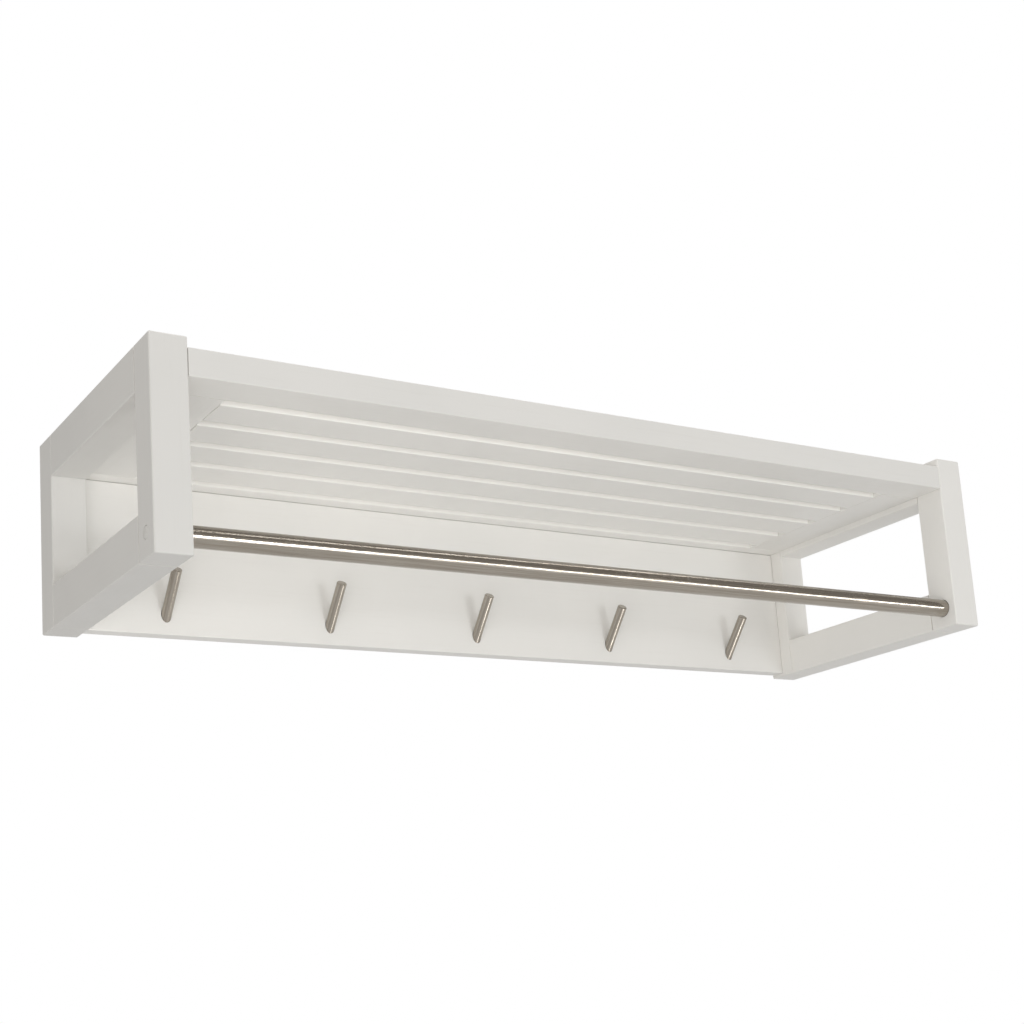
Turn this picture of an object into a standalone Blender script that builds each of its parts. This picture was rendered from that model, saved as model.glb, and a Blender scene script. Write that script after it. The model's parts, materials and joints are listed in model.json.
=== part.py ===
"""Wall-hung hat and coat rack: two side frames, a slatted shelf, a hook panel and a tube rail.

Metres, +X to the right, +Y towards the wall, +Z up.
The origin lies on the wall plane, midway between the two keyhole screws that carry the rack.
Heights below are given from the bottom of the posts and turned into world Z by at().
"""
import math

import bmesh
import bpy
from mathutils import Vector

# Overall sizes
WIDTH = 1.000
DEPTH = 0.320
HEIGHT = 0.200

# Clearance left between pieces that touch
GAP = 0.0003

# Side frames
POST_W = 0.036
FRONT_POST_D = 0.038
REAR_POST_D = 0.038
TOP_RAIL_H = 0.044
BOTTOM_RAIL_H = 0.044
FRAME_EASE = 0.0016

# Slatted shelf
SHELF_DROP = 0.010
SHELF_T = 0.027
FRONT_BOARD_D = 0.043
REAR_BOARD_D = 0.037
CROSSPIECE_W = 0.052
SLAT_COUNT = 4
SLOT_W = 0.013
BOARD_EASE = 0.0009
TENON_L = 0.008
TENON_SHOULDER = 0.006

# Back panel
PANEL_T = 0.018
PANEL_WALL_GAP = 0.002
PANEL_LIFT = 0.004

# Tube rail and the screws that hold it
TUBE_D = 0.020
TUBE_WALL = 0.0012
TUBE_UP = 0.023
SOCKET_L = 0.010
PLUG_L = 0.020
RAIL_SCREW_D = 0.004
RAIL_SCREW_L = 0.035
RAIL_SCREW_HEAD_D = 0.008
RAIL_SCREW_HEAD_T = 0.0035
COUNTERBORE_L = 0.009
CAP_D = 0.012
CAP_T = 0.003
CAP_DOME = 0.0008

# Hook pins, slanted up and away from the panel
HOOK_COUNT = 5
HOOK_END = 0.088
HOOK_UP = 0.026
HOOK_D = 0.011
HOOK_L = 0.052
HOOK_RISE = math.radians(50.0)
HOOK_CHAMFER = 0.0007
HOOK_SEAT_L = 0.0075
STUD_D = 0.006
STUD_L = 0.009
INSERT_D = 0.009

# Keyhole hanger plates in the backs of the rear posts
PLATE_W = 0.018
PLATE_H = 0.046
PLATE_T = 0.002
PLATE_CORNER = 0.004
HANGER_DROP = 0.048
KEYHOLE_D = 0.010
KEYHOLE_SLOT_W = 0.005
KEYHOLE_RISE = 0.010
HEAD_ROOM_L = 0.008
HEAD_ROOM_MARGIN = 0.001
PLATE_SCREW_INSET = 0.0055
PLATE_SCREW_D = 0.003
PLATE_SCREW_HEAD_D = 0.006
PLATE_SCREW_HEAD_T = 0.0016
PLATE_SCREW_L = 0.016

# Dowels
DOWEL_D = 0.008
DOWEL_CHAMFER = 0.0006
RAIL_DOWEL_INSET = 0.010
DOWEL_IN_POST = 0.014
DOWEL_IN_RAIL = 0.018
SIDE_DOWEL_IN_FRAME = 0.010
SIDE_DOWEL_IN_BOARD = 0.016
PANEL_DOWEL_INSET = 0.034

# Facets around turned pieces
FINE_STEPS = 48
DOWEL_STEPS = 20
SCREW_STEPS = 20

# Sizes that follow from the ones above
HALF_W = WIDTH / 2
INNER_X = HALF_W - POST_W
FRONT_Y = -DEPTH
HANG_UP = HEIGHT - HANGER_DROP
SHELF_TOP = HEIGHT - SHELF_DROP
SHELF_UNDER = SHELF_TOP - SHELF_T
SHELF_MID = SHELF_TOP - SHELF_T / 2
SLAT_HALF_L = INNER_X - CROSSPIECE_W
BOARD_BACK_Y = -PANEL_WALL_GAP
REAR_BOARD_Y = BOARD_BACK_Y - REAR_BOARD_D
FRONT_BOARD_Y = FRONT_Y + FRONT_BOARD_D
SLAT_D = (REAR_BOARD_Y - FRONT_BOARD_Y - (SLAT_COUNT + 1) * SLOT_W) / SLAT_COUNT
PANEL_BACK_Y = -PANEL_WALL_GAP
PANEL_FRONT_Y = PANEL_BACK_Y - PANEL_T
PANEL_MID_Y = PANEL_BACK_Y - PANEL_T / 2
TUBE_Y = FRONT_Y + FRONT_POST_D / 2
TUBE_END_X = INNER_X + SOCKET_L - GAP
HOOK_PITCH = 2 * (INNER_X - HOOK_END) / (HOOK_COUNT - 1)

# Directions in which a turned piece can point
POINT_LEFT = (0.0, -math.pi / 2, 0.0)
POINT_RIGHT = (0.0, math.pi / 2, 0.0)
POINT_BACK = (-math.pi / 2, 0.0, 0.0)
POINT_HOOK = (math.pi / 2 - HOOK_RISE, 0.0, 0.0)


def at(x, y, up):
    """World position of a point given by its height above the bottom of the posts."""
    return Vector((x, y, up - HANG_UP))


def make_material(name, colour, roughness, metallic):
    """A Principled material with one base colour."""
    material = bpy.data.materials.new(name)
    material.use_nodes = True
    shader = material.node_tree.nodes["Principled BSDF"]
    shader.inputs["Base Color"].default_value = (*colour, 1.0)
    shader.inputs["Roughness"].default_value = roughness
    shader.inputs["Metallic"].default_value = metallic
    material.diffuse_color = (*colour, 1.0)
    return material


def lacquer(name):
    """White lacquered wood."""
    return make_material(name, (0.80, 0.79, 0.76), 0.38, 0.0)


def stainless(name):
    """Brushed stainless steel."""
    return make_material(name, (0.62, 0.60, 0.57), 0.30, 1.0)


def zinc(name):
    """Zinc-plated steel."""
    return make_material(name, (0.58, 0.60, 0.62), 0.42, 1.0)


def brass(name):
    """Plain brass."""
    return make_material(name, (0.72, 0.55, 0.26), 0.35, 1.0)


def beech(name):
    """Bare beech."""
    return make_material(name, (0.66, 0.45, 0.27), 0.65, 0.0)


def plastic(name):
    """White moulded plastic."""
    return make_material(name, (0.78, 0.77, 0.74), 0.45, 0.0)


def add_object(name, bm, material=None, location=(0, 0, 0), rotation=(0, 0, 0)):
    """Turns a bmesh into a scene object; one without a material is a cutter."""
    mesh = bpy.data.meshes.new(name)
    bm.to_mesh(mesh)
    bm.free()
    obj = bpy.data.objects.new(name, mesh)
    obj.location = location
    obj.rotation_euler = rotation
    bpy.context.scene.collection.objects.link(obj)
    if material is None:
        obj.hide_render = True
        obj.display_type = "WIRE"
    else:
        mesh.materials.append(material)
    return obj


def box(name, size, centre, material=None, ease=0.0, ease_axes="", ease_steps=2, tenon_axis=None):
    """A box whose edges along the chosen axes are eased, with a stub tenon at both ends if asked."""
    bm = bmesh.new()
    bmesh.ops.create_cube(bm, size=1.0)
    bmesh.ops.scale(bm, vec=Vector(size), verts=bm.verts)
    weight = bm.edges.layers.float.new("bevel_weight_edge")
    for edge in bm.edges:
        run = edge.verts[1].co - edge.verts[0].co
        axis = max(range(3), key=lambda i: abs(run[i]))
        edge[weight] = 1.0 if "XYZ"[axis] in ease_axes else 0.0
    if tenon_axis is not None:
        ends = [face for face in bm.faces if abs(face.normal[tenon_axis]) > 0.9]
        for face in ends:
            outward = face.normal * TENON_L
            bmesh.ops.inset_region(bm, faces=[face], thickness=TENON_SHOULDER, use_even_offset=True)
            tongue = bmesh.ops.extrude_discrete_faces(bm, faces=[face])["faces"][0]
            bmesh.ops.translate(bm, vec=outward, verts=tongue.verts)
    obj = add_object(name, bm, material, centre)
    if ease > 0.0:
        bevel = obj.modifiers.new("Eased edges", "BEVEL")
        bevel.width = ease
        bevel.segments = ease_steps
        bevel.limit_method = "WEIGHT"
    return obj


def turned(name, profile, steps, material=None, location=(0, 0, 0), rotation=(0, 0, 0), ring=False):
    """A turned piece: its (radius, height) outline, listed top to bottom, swept round the local Z axis."""
    bm = bmesh.new()
    verts = [bm.verts.new((radius, 0.0, height)) for radius, height in profile]
    for first, second in zip(verts, verts[1:]):
        bm.edges.new((first, second))
    if ring:
        bm.edges.new((verts[-1], verts[0]))
    obj = add_object(name, bm, material, location, rotation)
    sweep = obj.modifiers.new("Turned", "SCREW")
    sweep.axis = "Z"
    sweep.angle = 2 * math.pi
    sweep.steps = steps
    sweep.render_steps = steps
    sweep.use_merge_vertices = True
    sweep.merge_threshold = 0.00001
    sweep.use_smooth_shade = True
    return obj


def rod_profile(diameter, length, chamfer=0.0):
    """Outline of a plain round rod centred on its own middle."""
    radius = diameter / 2
    half = length / 2
    if chamfer == 0.0:
        return [(0.0, half), (radius, half), (radius, -half), (0.0, -half)]
    return [
        (0.0, half),
        (radius - chamfer, half),
        (radius, half - chamfer),
        (radius, -half + chamfer),
        (radius - chamfer, -half),
        (0.0, -half),
    ]


def countersunk_profile(diameter, head_diameter, head_height, length, grow=0.0):
    """Outline of a countersunk screw whose flat head top lies at height 0."""
    tip = length - diameter
    return [
        (0.0, grow),
        (head_diameter / 2 + grow, grow),
        (head_diameter / 2 + grow, 0.0),
        (diameter / 2 + grow, -head_height),
        (diameter / 2 + grow, -tip - grow),
        (0.0, -length - grow),
    ]


def cut(target, *cutters):
    """Takes each cutter out of the target."""
    for cutter in cutters:
        boolean = target.modifiers.new(cutter.name, "BOOLEAN")
        boolean.operation = "DIFFERENCE"
        boolean.solver = "EXACT"
        boolean.object = cutter


def dowel(name, start, end, pieces):
    """A dowel running along X or Y between two points, and its hole in each of the pieces."""
    run = end - start
    rotation = POINT_RIGHT if abs(run.x) > abs(run.y) else POINT_BACK
    middle = (start + end) / 2
    profile = rod_profile(DOWEL_D, run.length, DOWEL_CHAMFER)
    turned(name, profile, DOWEL_STEPS, beech(f"{name}_beech"), middle, rotation)
    hole = rod_profile(DOWEL_D + 2 * GAP, run.length + 2 * GAP)
    hole_cutter = turned(f"cut_{name}", hole, DOWEL_STEPS, None, middle, rotation)
    for piece in pieces:
        cut(piece, hole_cutter)


def build_side_frame(side, sign):
    """Front post, rear post and the two rails between them, joined by one dowel at each end."""
    centre_x = sign * (HALF_W - POST_W / 2)
    front_y = FRONT_Y + FRONT_POST_D / 2
    rear_y = -REAR_POST_D / 2
    rail_front = FRONT_Y + FRONT_POST_D + GAP
    rail_back = -REAR_POST_D - GAP
    rail_l = rail_back - rail_front
    rail_y = (rail_front + rail_back) / 2
    pieces = {}
    for name, depth, y in (("front_post", FRONT_POST_D, front_y), ("rear_post", REAR_POST_D, rear_y)):
        full_name = f"{side}_{name}"
        pieces[name] = box(
            full_name,
            (POST_W, depth, HEIGHT),
            at(centre_x, y, HEIGHT / 2),
            lacquer(f"{full_name}_lacquer"),
            FRAME_EASE,
            "XYZ",
        )
    rails = (
        ("top_rail", TOP_RAIL_H, HEIGHT - TOP_RAIL_H / 2, HEIGHT - RAIL_DOWEL_INSET),
        ("bottom_rail", BOTTOM_RAIL_H, BOTTOM_RAIL_H / 2, BOTTOM_RAIL_H - RAIL_DOWEL_INSET),
    )
    for name, height, middle_up, dowel_up in rails:
        full_name = f"{side}_{name}"
        rail = box(
            full_name,
            (POST_W, rail_l, height),
            at(centre_x, rail_y, middle_up),
            lacquer(f"{full_name}_lacquer"),
            FRAME_EASE,
            "Y",
        )
        pieces[name] = rail
        dowel(
            f"{full_name}_front_dowel",
            at(centre_x, rail_front - DOWEL_IN_POST, dowel_up),
            at(centre_x, rail_front + DOWEL_IN_RAIL, dowel_up),
            (rail, pieces["front_post"]),
        )
        dowel(
            f"{full_name}_rear_dowel",
            at(centre_x, rail_back - DOWEL_IN_RAIL, dowel_up),
            at(centre_x, rail_back + DOWEL_IN_POST, dowel_up),
            (rail, pieces["rear_post"]),
        )
    return pieces


def side_dowel(name, sign, y, up, frame_piece, board_piece):
    """A dowel along X from a side frame's inner face into the end of a board."""
    dowel(
        name,
        at(sign * (INNER_X - SIDE_DOWEL_IN_BOARD), y, up),
        at(sign * (INNER_X + SIDE_DOWEL_IN_FRAME), y, up),
        (frame_piece, board_piece),
    )


def mortise(name, centre, section, axis):
    """Cutter for a stub tenon; its centre lies on the face that the tenon enters."""
    size = [extent - 2 * TENON_SHOULDER + 2 * GAP for extent in section]
    size[axis] = 2 * (TENON_L + GAP)
    return box(name, size, centre)


def build_shelf(frames):
    """Front and rear boards, two crosspieces tenoned between them and the slats between those."""
    board_l = 2 * (INNER_X - GAP)
    front_board = box(
        "shelf_front_board",
        (board_l, FRONT_BOARD_D, SHELF_T),
        at(0.0, FRONT_Y + FRONT_BOARD_D / 2, SHELF_MID),
        lacquer("shelf_front_board_lacquer"),
        BOARD_EASE,
        "X",
    )
    rear_board = box(
        "shelf_rear_board",
        (board_l, REAR_BOARD_D, SHELF_T),
        at(0.0, BOARD_BACK_Y - REAR_BOARD_D / 2, SHELF_MID),
        lacquer("shelf_rear_board_lacquer"),
        BOARD_EASE,
        "X",
    )
    cross_w = CROSSPIECE_W - GAP
    cross_front = FRONT_BOARD_Y + GAP
    cross_back = REAR_BOARD_Y - GAP
    cross_size = (cross_w, cross_back - cross_front, SHELF_T)
    cross_y = (cross_front + cross_back) / 2
    slat_size = (2 * (SLAT_HALF_L - GAP), SLAT_D, SHELF_T)
    slat_ys = [
        FRONT_BOARD_Y + SLOT_W + SLAT_D / 2 + number * (SLAT_D + SLOT_W) for number in range(SLAT_COUNT)
    ]
    for side, sign in (("left", -1), ("right", 1)):
        frame = frames[side]
        cross_x = sign * (SLAT_HALF_L + cross_w / 2)
        name = f"shelf_{side}_crosspiece"
        cross = box(
            name,
            cross_size,
            at(cross_x, cross_y, SHELF_MID),
            lacquer(f"{name}_lacquer"),
            BOARD_EASE,
            "Y",
            tenon_axis=1,
        )
        cut(front_board, mortise(f"cut_{side}_front", at(cross_x, cross_front, SHELF_MID), cross_size, 1))
        cut(rear_board, mortise(f"cut_{side}_rear", at(cross_x, cross_back, SHELF_MID), cross_size, 1))
        for number, y in enumerate(slat_ys, start=1):
            seat = at(sign * (SLAT_HALF_L - GAP), y, SHELF_MID)
            cut(cross, mortise(f"cut_{side}_slat_{number}", seat, slat_size, 0))
        side_dowel(
            f"{side}_front_board_dowel",
            sign,
            FRONT_Y + FRONT_BOARD_D / 2,
            SHELF_MID,
            frame["front_post"],
            front_board,
        )
        side_dowel(
            f"{side}_rear_board_dowel",
            sign,
            BOARD_BACK_Y - REAR_BOARD_D / 2,
            SHELF_MID,
            frame["rear_post"],
            rear_board,
        )
        side_dowel(f"{side}_crosspiece_dowel", sign, cross_y, SHELF_MID, frame["top_rail"], cross)
    for number, y in enumerate(slat_ys, start=1):
        name = f"shelf_slat_{number}"
        box(name, slat_size, at(0.0, y, SHELF_MID), lacquer(f"{name}_lacquer"), BOARD_EASE, "X", tenon_axis=0)


def build_back_panel(frames):
    """The hook panel, doweled between the rear posts under the shelf."""
    height = SHELF_UNDER - GAP - PANEL_LIFT
    panel = box(
        "back_panel",
        (2 * (INNER_X - GAP), PANEL_T, height),
        at(0.0, PANEL_MID_Y, PANEL_LIFT + height / 2),
        lacquer("back_panel_lacquer"),
        BOARD_EASE,
        "X",
    )
    for side, sign in (("left", -1), ("right", 1)):
        for level, up in (
            ("lower", PANEL_LIFT + PANEL_DOWEL_INSET),
            ("upper", PANEL_LIFT + height - PANEL_DOWEL_INSET),
        ):
            name = f"{side}_{level}_panel_dowel"
            side_dowel(name, sign, PANEL_MID_Y, up, frames[side]["rear_post"], panel)
    return panel


def build_hooks(panel):
    """Round slanted pins, each with a stud that screws into a sleeve sunk in the panel."""
    radius = HOOK_D / 2
    stud_end = HOOK_SEAT_L + STUD_L
    hook = [
        (0.0, HOOK_L),
        (radius - HOOK_CHAMFER, HOOK_L),
        (radius, HOOK_L - HOOK_CHAMFER),
        (radius, -HOOK_SEAT_L),
        (STUD_D / 2, -HOOK_SEAT_L),
        (STUD_D / 2, -stud_end),
        (0.0, -stud_end),
    ]
    sleeve = [
        (INSERT_D / 2, -HOOK_SEAT_L - GAP),
        (INSERT_D / 2, -stud_end),
        (STUD_D / 2 + GAP, -stud_end),
        (STUD_D / 2 + GAP, -HOOK_SEAT_L - GAP),
    ]
    bore = [
        (0.0, HOOK_L),
        (radius + GAP, HOOK_L),
        (radius + GAP, -HOOK_SEAT_L - GAP),
        (INSERT_D / 2 + GAP, -HOOK_SEAT_L - GAP),
        (INSERT_D / 2 + GAP, -stud_end - GAP),
        (0.0, -stud_end - GAP),
    ]
    for number in range(1, HOOK_COUNT + 1):
        x = (number - (HOOK_COUNT + 1) / 2) * HOOK_PITCH
        root = at(x, PANEL_FRONT_Y, HOOK_UP)
        turned(f"hook_{number}", hook, FINE_STEPS, stainless(f"hook_{number}_steel"), root, POINT_HOOK)
        name = f"hook_{number}_sleeve"
        turned(name, sleeve, SCREW_STEPS, brass(f"{name}_brass"), root, POINT_HOOK, ring=True)
        cut(panel, turned(f"cut_hook_{number}", bore, FINE_STEPS, None, root, POINT_HOOK))


def build_tube_rail(frames):
    """The tube between the front posts, held at each end by a plug, a screw and a cover cap."""
    outer = TUBE_D / 2
    inner = outer - TUBE_WALL
    tube = [(outer, TUBE_END_X), (outer, -TUBE_END_X), (inner, -TUBE_END_X), (inner, TUBE_END_X)]
    turned(
        "tube_rail", tube, FINE_STEPS, stainless("tube_rail_steel"), at(0.0, TUBE_Y, TUBE_UP), POINT_RIGHT, ring=True
    )
    screw_r = RAIL_SCREW_D / 2
    plug = [
        (inner - GAP, 0.0),
        (inner - GAP, -PLUG_L),
        (screw_r + GAP, -PLUG_L),
        (screw_r + GAP, 0.0),
    ]
    screw = [
        (0.0, RAIL_SCREW_HEAD_T),
        (RAIL_SCREW_HEAD_D / 2 - GAP, RAIL_SCREW_HEAD_T),
        (RAIL_SCREW_HEAD_D / 2, RAIL_SCREW_HEAD_T - GAP),
        (RAIL_SCREW_HEAD_D / 2, 0.0),
        (screw_r, 0.0),
        (screw_r, RAIL_SCREW_D - RAIL_SCREW_L),
        (0.0, -RAIL_SCREW_L),
    ]
    cap = [
        (0.0, CAP_DOME),
        (CAP_D / 4, 0.75 * CAP_DOME),
        (CAP_D / 2, 0.0),
        (CAP_D / 2, -CAP_T),
        (0.0, -CAP_T),
    ]
    for side, sign, rotation in (("left", -1, POINT_LEFT), ("right", 1, POINT_RIGHT)):
        tube_end = at(sign * TUBE_END_X, TUBE_Y, TUBE_UP)
        seat = at(sign * (HALF_W - COUNTERBORE_L + GAP), TUBE_Y, TUBE_UP)
        mouth = at(sign * HALF_W, TUBE_Y, TUBE_UP)
        inner_face = at(sign * INNER_X, TUBE_Y, TUBE_UP)
        post = frames[side]["front_post"]
        name = f"{side}_tube_plug"
        turned(name, plug, FINE_STEPS, plastic(f"{name}_plastic"), tube_end, rotation, ring=True)
        name = f"{side}_tube_screw"
        turned(name, screw, SCREW_STEPS, zinc(f"{name}_zinc"), seat, rotation)
        name = f"{side}_cover_cap"
        turned(name, cap, FINE_STEPS, plastic(f"{name}_plastic"), mouth, rotation)
        socket = rod_profile(TUBE_D + 2 * GAP, 2 * SOCKET_L)
        bore = rod_profile(RAIL_SCREW_D + 2 * GAP, 2 * POST_W)
        counterbore = rod_profile(CAP_D + 2 * GAP, 2 * COUNTERBORE_L)
        cut(
            post,
            turned(f"cut_{side}_socket", socket, FINE_STEPS, None, inner_face, rotation),
            turned(f"cut_{side}_screw", bore, SCREW_STEPS, None, mouth, rotation),
            turned(f"cut_{side}_cap", counterbore, FINE_STEPS, None, mouth, rotation),
        )


def build_hangers(frames):
    """Keyhole plates let flush into the rear posts, with room behind for the wall screw's head."""
    room_w = KEYHOLE_D + 2 * HEAD_ROOM_MARGIN
    room_l = PLATE_T + HEAD_ROOM_L
    room_h = KEYHOLE_RISE + room_w
    plate_mid = HANG_UP - KEYHOLE_RISE / 2
    for side, sign in (("left", -1), ("right", 1)):
        x = sign * (HALF_W - POST_W / 2)
        post = frames[side]["rear_post"]
        name = f"{side}_hanger_plate"
        plate = box(
            name,
            (PLATE_W, PLATE_T, PLATE_H),
            at(x, -PLATE_T / 2, plate_mid),
            zinc(f"{name}_zinc"),
            PLATE_CORNER,
            "Y",
            4,
        )
        pocket = box(
            f"cut_{side}_pocket",
            (PLATE_W + 2 * GAP, 2 * (PLATE_T + GAP), PLATE_H + 2 * GAP),
            at(x, 0.0, plate_mid),
            ease=PLATE_CORNER + GAP,
            ease_axes="Y",
            ease_steps=4,
        )
        room = box(f"cut_{side}_room", (room_w, 2 * room_l, room_h), at(x, 0.0, plate_mid))
        cut(post, pocket, room)
        entry = rod_profile(KEYHOLE_D, 4 * PLATE_T)
        neck_end = rod_profile(KEYHOLE_SLOT_W, 4 * PLATE_T)
        entry_at = at(x, 0.0, HANG_UP - KEYHOLE_RISE)
        neck_size = (KEYHOLE_SLOT_W, 4 * PLATE_T, KEYHOLE_RISE)
        cut(
            plate,
            turned(f"cut_{side}_entry", entry, DOWEL_STEPS, None, entry_at, POINT_BACK),
            box(f"cut_{side}_neck", neck_size, at(x, 0.0, plate_mid)),
            turned(f"cut_{side}_neck_end", neck_end, DOWEL_STEPS, None, at(x, 0.0, HANG_UP), POINT_BACK),
        )
        for level, direction in (("lower", -1), ("upper", 1)):
            up = plate_mid + direction * (PLATE_H / 2 - PLATE_SCREW_INSET)
            name = f"{side}_{level}_hanger_screw"
            sizes = (PLATE_SCREW_D, PLATE_SCREW_HEAD_D, PLATE_SCREW_HEAD_T, PLATE_SCREW_L)
            location = at(x, -GAP, up)
            screw = countersunk_profile(*sizes)
            turned(name, screw, SCREW_STEPS, zinc(f"{name}_zinc"), location, POINT_BACK)
            hole = countersunk_profile(*sizes, grow=GAP)
            hole_cutter = turned(f"cut_{name}", hole, SCREW_STEPS, None, location, POINT_BACK)
            cut(plate, hole_cutter)
            cut(post, hole_cutter)


def main():
    """Clears the scene and builds the rack piece by piece."""
    for obj in list(bpy.data.objects):
        bpy.data.objects.remove(obj, do_unlink=True)
    frames = {"left": build_side_frame("left", -1), "right": build_side_frame("right", 1)}
    build_shelf(frames)
    panel = build_back_panel(frames)
    build_hooks(panel)
    build_tube_rail(frames)
    build_hangers(frames)


main()
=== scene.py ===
"""Wall-hung hat and coat rack, finished for display.

White lacquered side frames, a slatted shelf and a hook panel, with a brushed steel tube rail and
five slanted steel pins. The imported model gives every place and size; the visible members are built
again here as smooth surfaces with soft arrises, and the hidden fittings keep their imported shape.
Metres, +X to the right, +Y towards the wall, +Z up.
"""
import json
import logging
import math
from dataclasses import dataclass, field
from enum import Enum

import bmesh
import bpy
import numpy as np
from mathutils import Matrix, Vector

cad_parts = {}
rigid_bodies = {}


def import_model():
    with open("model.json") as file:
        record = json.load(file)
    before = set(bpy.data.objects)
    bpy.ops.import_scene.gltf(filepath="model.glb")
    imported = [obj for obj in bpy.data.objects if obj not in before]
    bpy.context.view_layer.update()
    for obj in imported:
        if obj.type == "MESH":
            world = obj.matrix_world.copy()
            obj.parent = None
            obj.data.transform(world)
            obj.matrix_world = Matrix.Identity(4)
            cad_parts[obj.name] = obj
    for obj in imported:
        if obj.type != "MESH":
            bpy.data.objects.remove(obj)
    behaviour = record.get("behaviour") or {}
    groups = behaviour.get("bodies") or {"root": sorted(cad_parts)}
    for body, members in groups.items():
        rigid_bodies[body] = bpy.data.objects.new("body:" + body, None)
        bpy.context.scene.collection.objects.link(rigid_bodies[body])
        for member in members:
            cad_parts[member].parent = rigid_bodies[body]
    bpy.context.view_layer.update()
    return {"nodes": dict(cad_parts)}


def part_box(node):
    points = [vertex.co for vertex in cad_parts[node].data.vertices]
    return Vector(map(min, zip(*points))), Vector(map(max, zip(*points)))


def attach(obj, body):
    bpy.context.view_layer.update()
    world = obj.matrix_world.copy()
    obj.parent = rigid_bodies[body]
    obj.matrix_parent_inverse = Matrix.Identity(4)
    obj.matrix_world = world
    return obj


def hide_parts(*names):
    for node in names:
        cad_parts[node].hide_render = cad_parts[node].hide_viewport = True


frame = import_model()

ROOT_BODY = "root"
CLEARANCE = 0.0003
WELD = 1e-6
SLIVER = 1e-7
LEAST_ROUNDING = 1e-5
TENON_LENGTH = 0.008
TENON_SHOULDER = 0.006
KEYHOLE_RADIUS = 0.005
KEYHOLE_RISE = 0.010
LEVELS = ("lower", "upper")

Piece = bpy.types.Object
Material = bpy.types.Material
Socket = bpy.types.NodeSocket
Span = tuple[float, float]
Point = tuple[float, float, float]
Colour = tuple[float, float, float, float]
Value = Socket | Colour | float

log = logging.getLogger("hat_rack")


class Axis(Enum):
    """One of the three directions of the rack."""

    X = 0
    Y = 1
    Z = 2

    @property
    def unit(self) -> np.ndarray:
        """Unit vector along the axis."""
        return np.eye(3)[self.value]


class Side(Enum):
    """Left or right side of the rack, with its sign along X."""

    LEFT = -1
    RIGHT = 1

    @property
    def word(self) -> str:
        """Name of the side as used in piece names."""
        return self.name.lower()


class BarEnd(Enum):
    """How a bar finishes at its two ends."""

    PLAIN = "plain"
    TENON = "tenon"


# --------------------------------------------------------------------------- surfaces


@dataclass(frozen=True)
class Shell:
    """A closed surface: its points, its four-sided faces and its flat caps."""

    points: np.ndarray
    quads: np.ndarray
    caps: tuple[tuple[int, ...], ...] = ()

    def to_piece(self, name: str) -> Piece:
        """Puts the surface into a mesh object at the origin, welded, with faces pointing outwards.

        Args:
            name: Name of the piece.

        Returns:
            The new object, linked to the scene.
        """
        mesh = bpy.data.meshes.new(name)
        mesh.from_pydata(self.points.tolist(), [], self.quads.tolist() + [list(cap) for cap in self.caps])
        shape = bmesh.new()
        shape.from_mesh(mesh)
        bmesh.ops.remove_doubles(shape, verts=shape.verts, dist=WELD)
        bmesh.ops.dissolve_degenerate(shape, edges=shape.edges, dist=SLIVER)
        bmesh.ops.recalc_face_normals(shape, faces=shape.faces)
        shape.to_mesh(mesh)
        shape.free()
        piece = bpy.data.objects.new(name, mesh)
        bpy.context.scene.collection.objects.link(piece)
        return piece


def grid_quads(rows: int, columns: int, close_rows: bool) -> np.ndarray:
    """Four-sided faces over a grid of points held row by row, with its last column joined to the first.

    Args:
        rows: Number of rows of points.
        columns: Number of points in a row.
        close_rows: Whether the last row is joined to the first one too.

    Returns:
        One line of four point numbers for each face.
    """
    row = np.arange(rows if close_rows else rows - 1)[:, None]
    column = np.arange(columns)[None, :]
    next_row = (row + 1) % rows
    next_column = (column + 1) % columns
    corners = (
        row * columns + column,
        row * columns + next_column,
        next_row * columns + next_column,
        next_row * columns + column,
    )
    return np.stack(corners, axis=-1).reshape(-1, 4)


def lofted(rings: np.ndarray) -> Shell:
    """Joins closed outlines one after another and caps the first and the last.

    Args:
        rings: Points as (ring, point in ring, xyz).

    Returns:
        The closed surface.
    """
    count, around = rings.shape[:2]
    first = tuple(range(around))
    last = tuple((count - 1) * around + number for number in range(around))
    return Shell(rings.reshape(-1, 3), grid_quads(count, around, False), (first, last))


def rounded_outline(half_a: np.ndarray, half_b: np.ndarray, radius: np.ndarray, steps: int) -> np.ndarray:
    """Rectangles with rounded corners, one for each entry of the size arrays.

    Each corner is a quarter circle about a centre that lies one radius in from both sides:
    a = sign * (half_a - radius) + radius * cos(turn), and the same for b with the sine.

    Args:
        half_a: Half sizes along the first direction.
        half_b: Half sizes along the second direction.
        radius: Corner radii.
        steps: Faces round each corner.

    Returns:
        Points as (outline, point, ab).
    """
    turn = (np.arange(4)[:, None] * math.pi / 2 + np.linspace(0.0, math.pi / 2, steps + 1)[None, :]).ravel()
    sign_a = np.repeat([1.0, -1.0, -1.0, 1.0], steps + 1)
    sign_b = np.repeat([1.0, 1.0, -1.0, -1.0], steps + 1)
    a = sign_a * (half_a - radius)[:, None] + radius[:, None] * np.cos(turn)
    b = sign_b * (half_b - radius)[:, None] + radius[:, None] * np.sin(turn)
    return np.stack((a, b), axis=-1)


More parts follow.
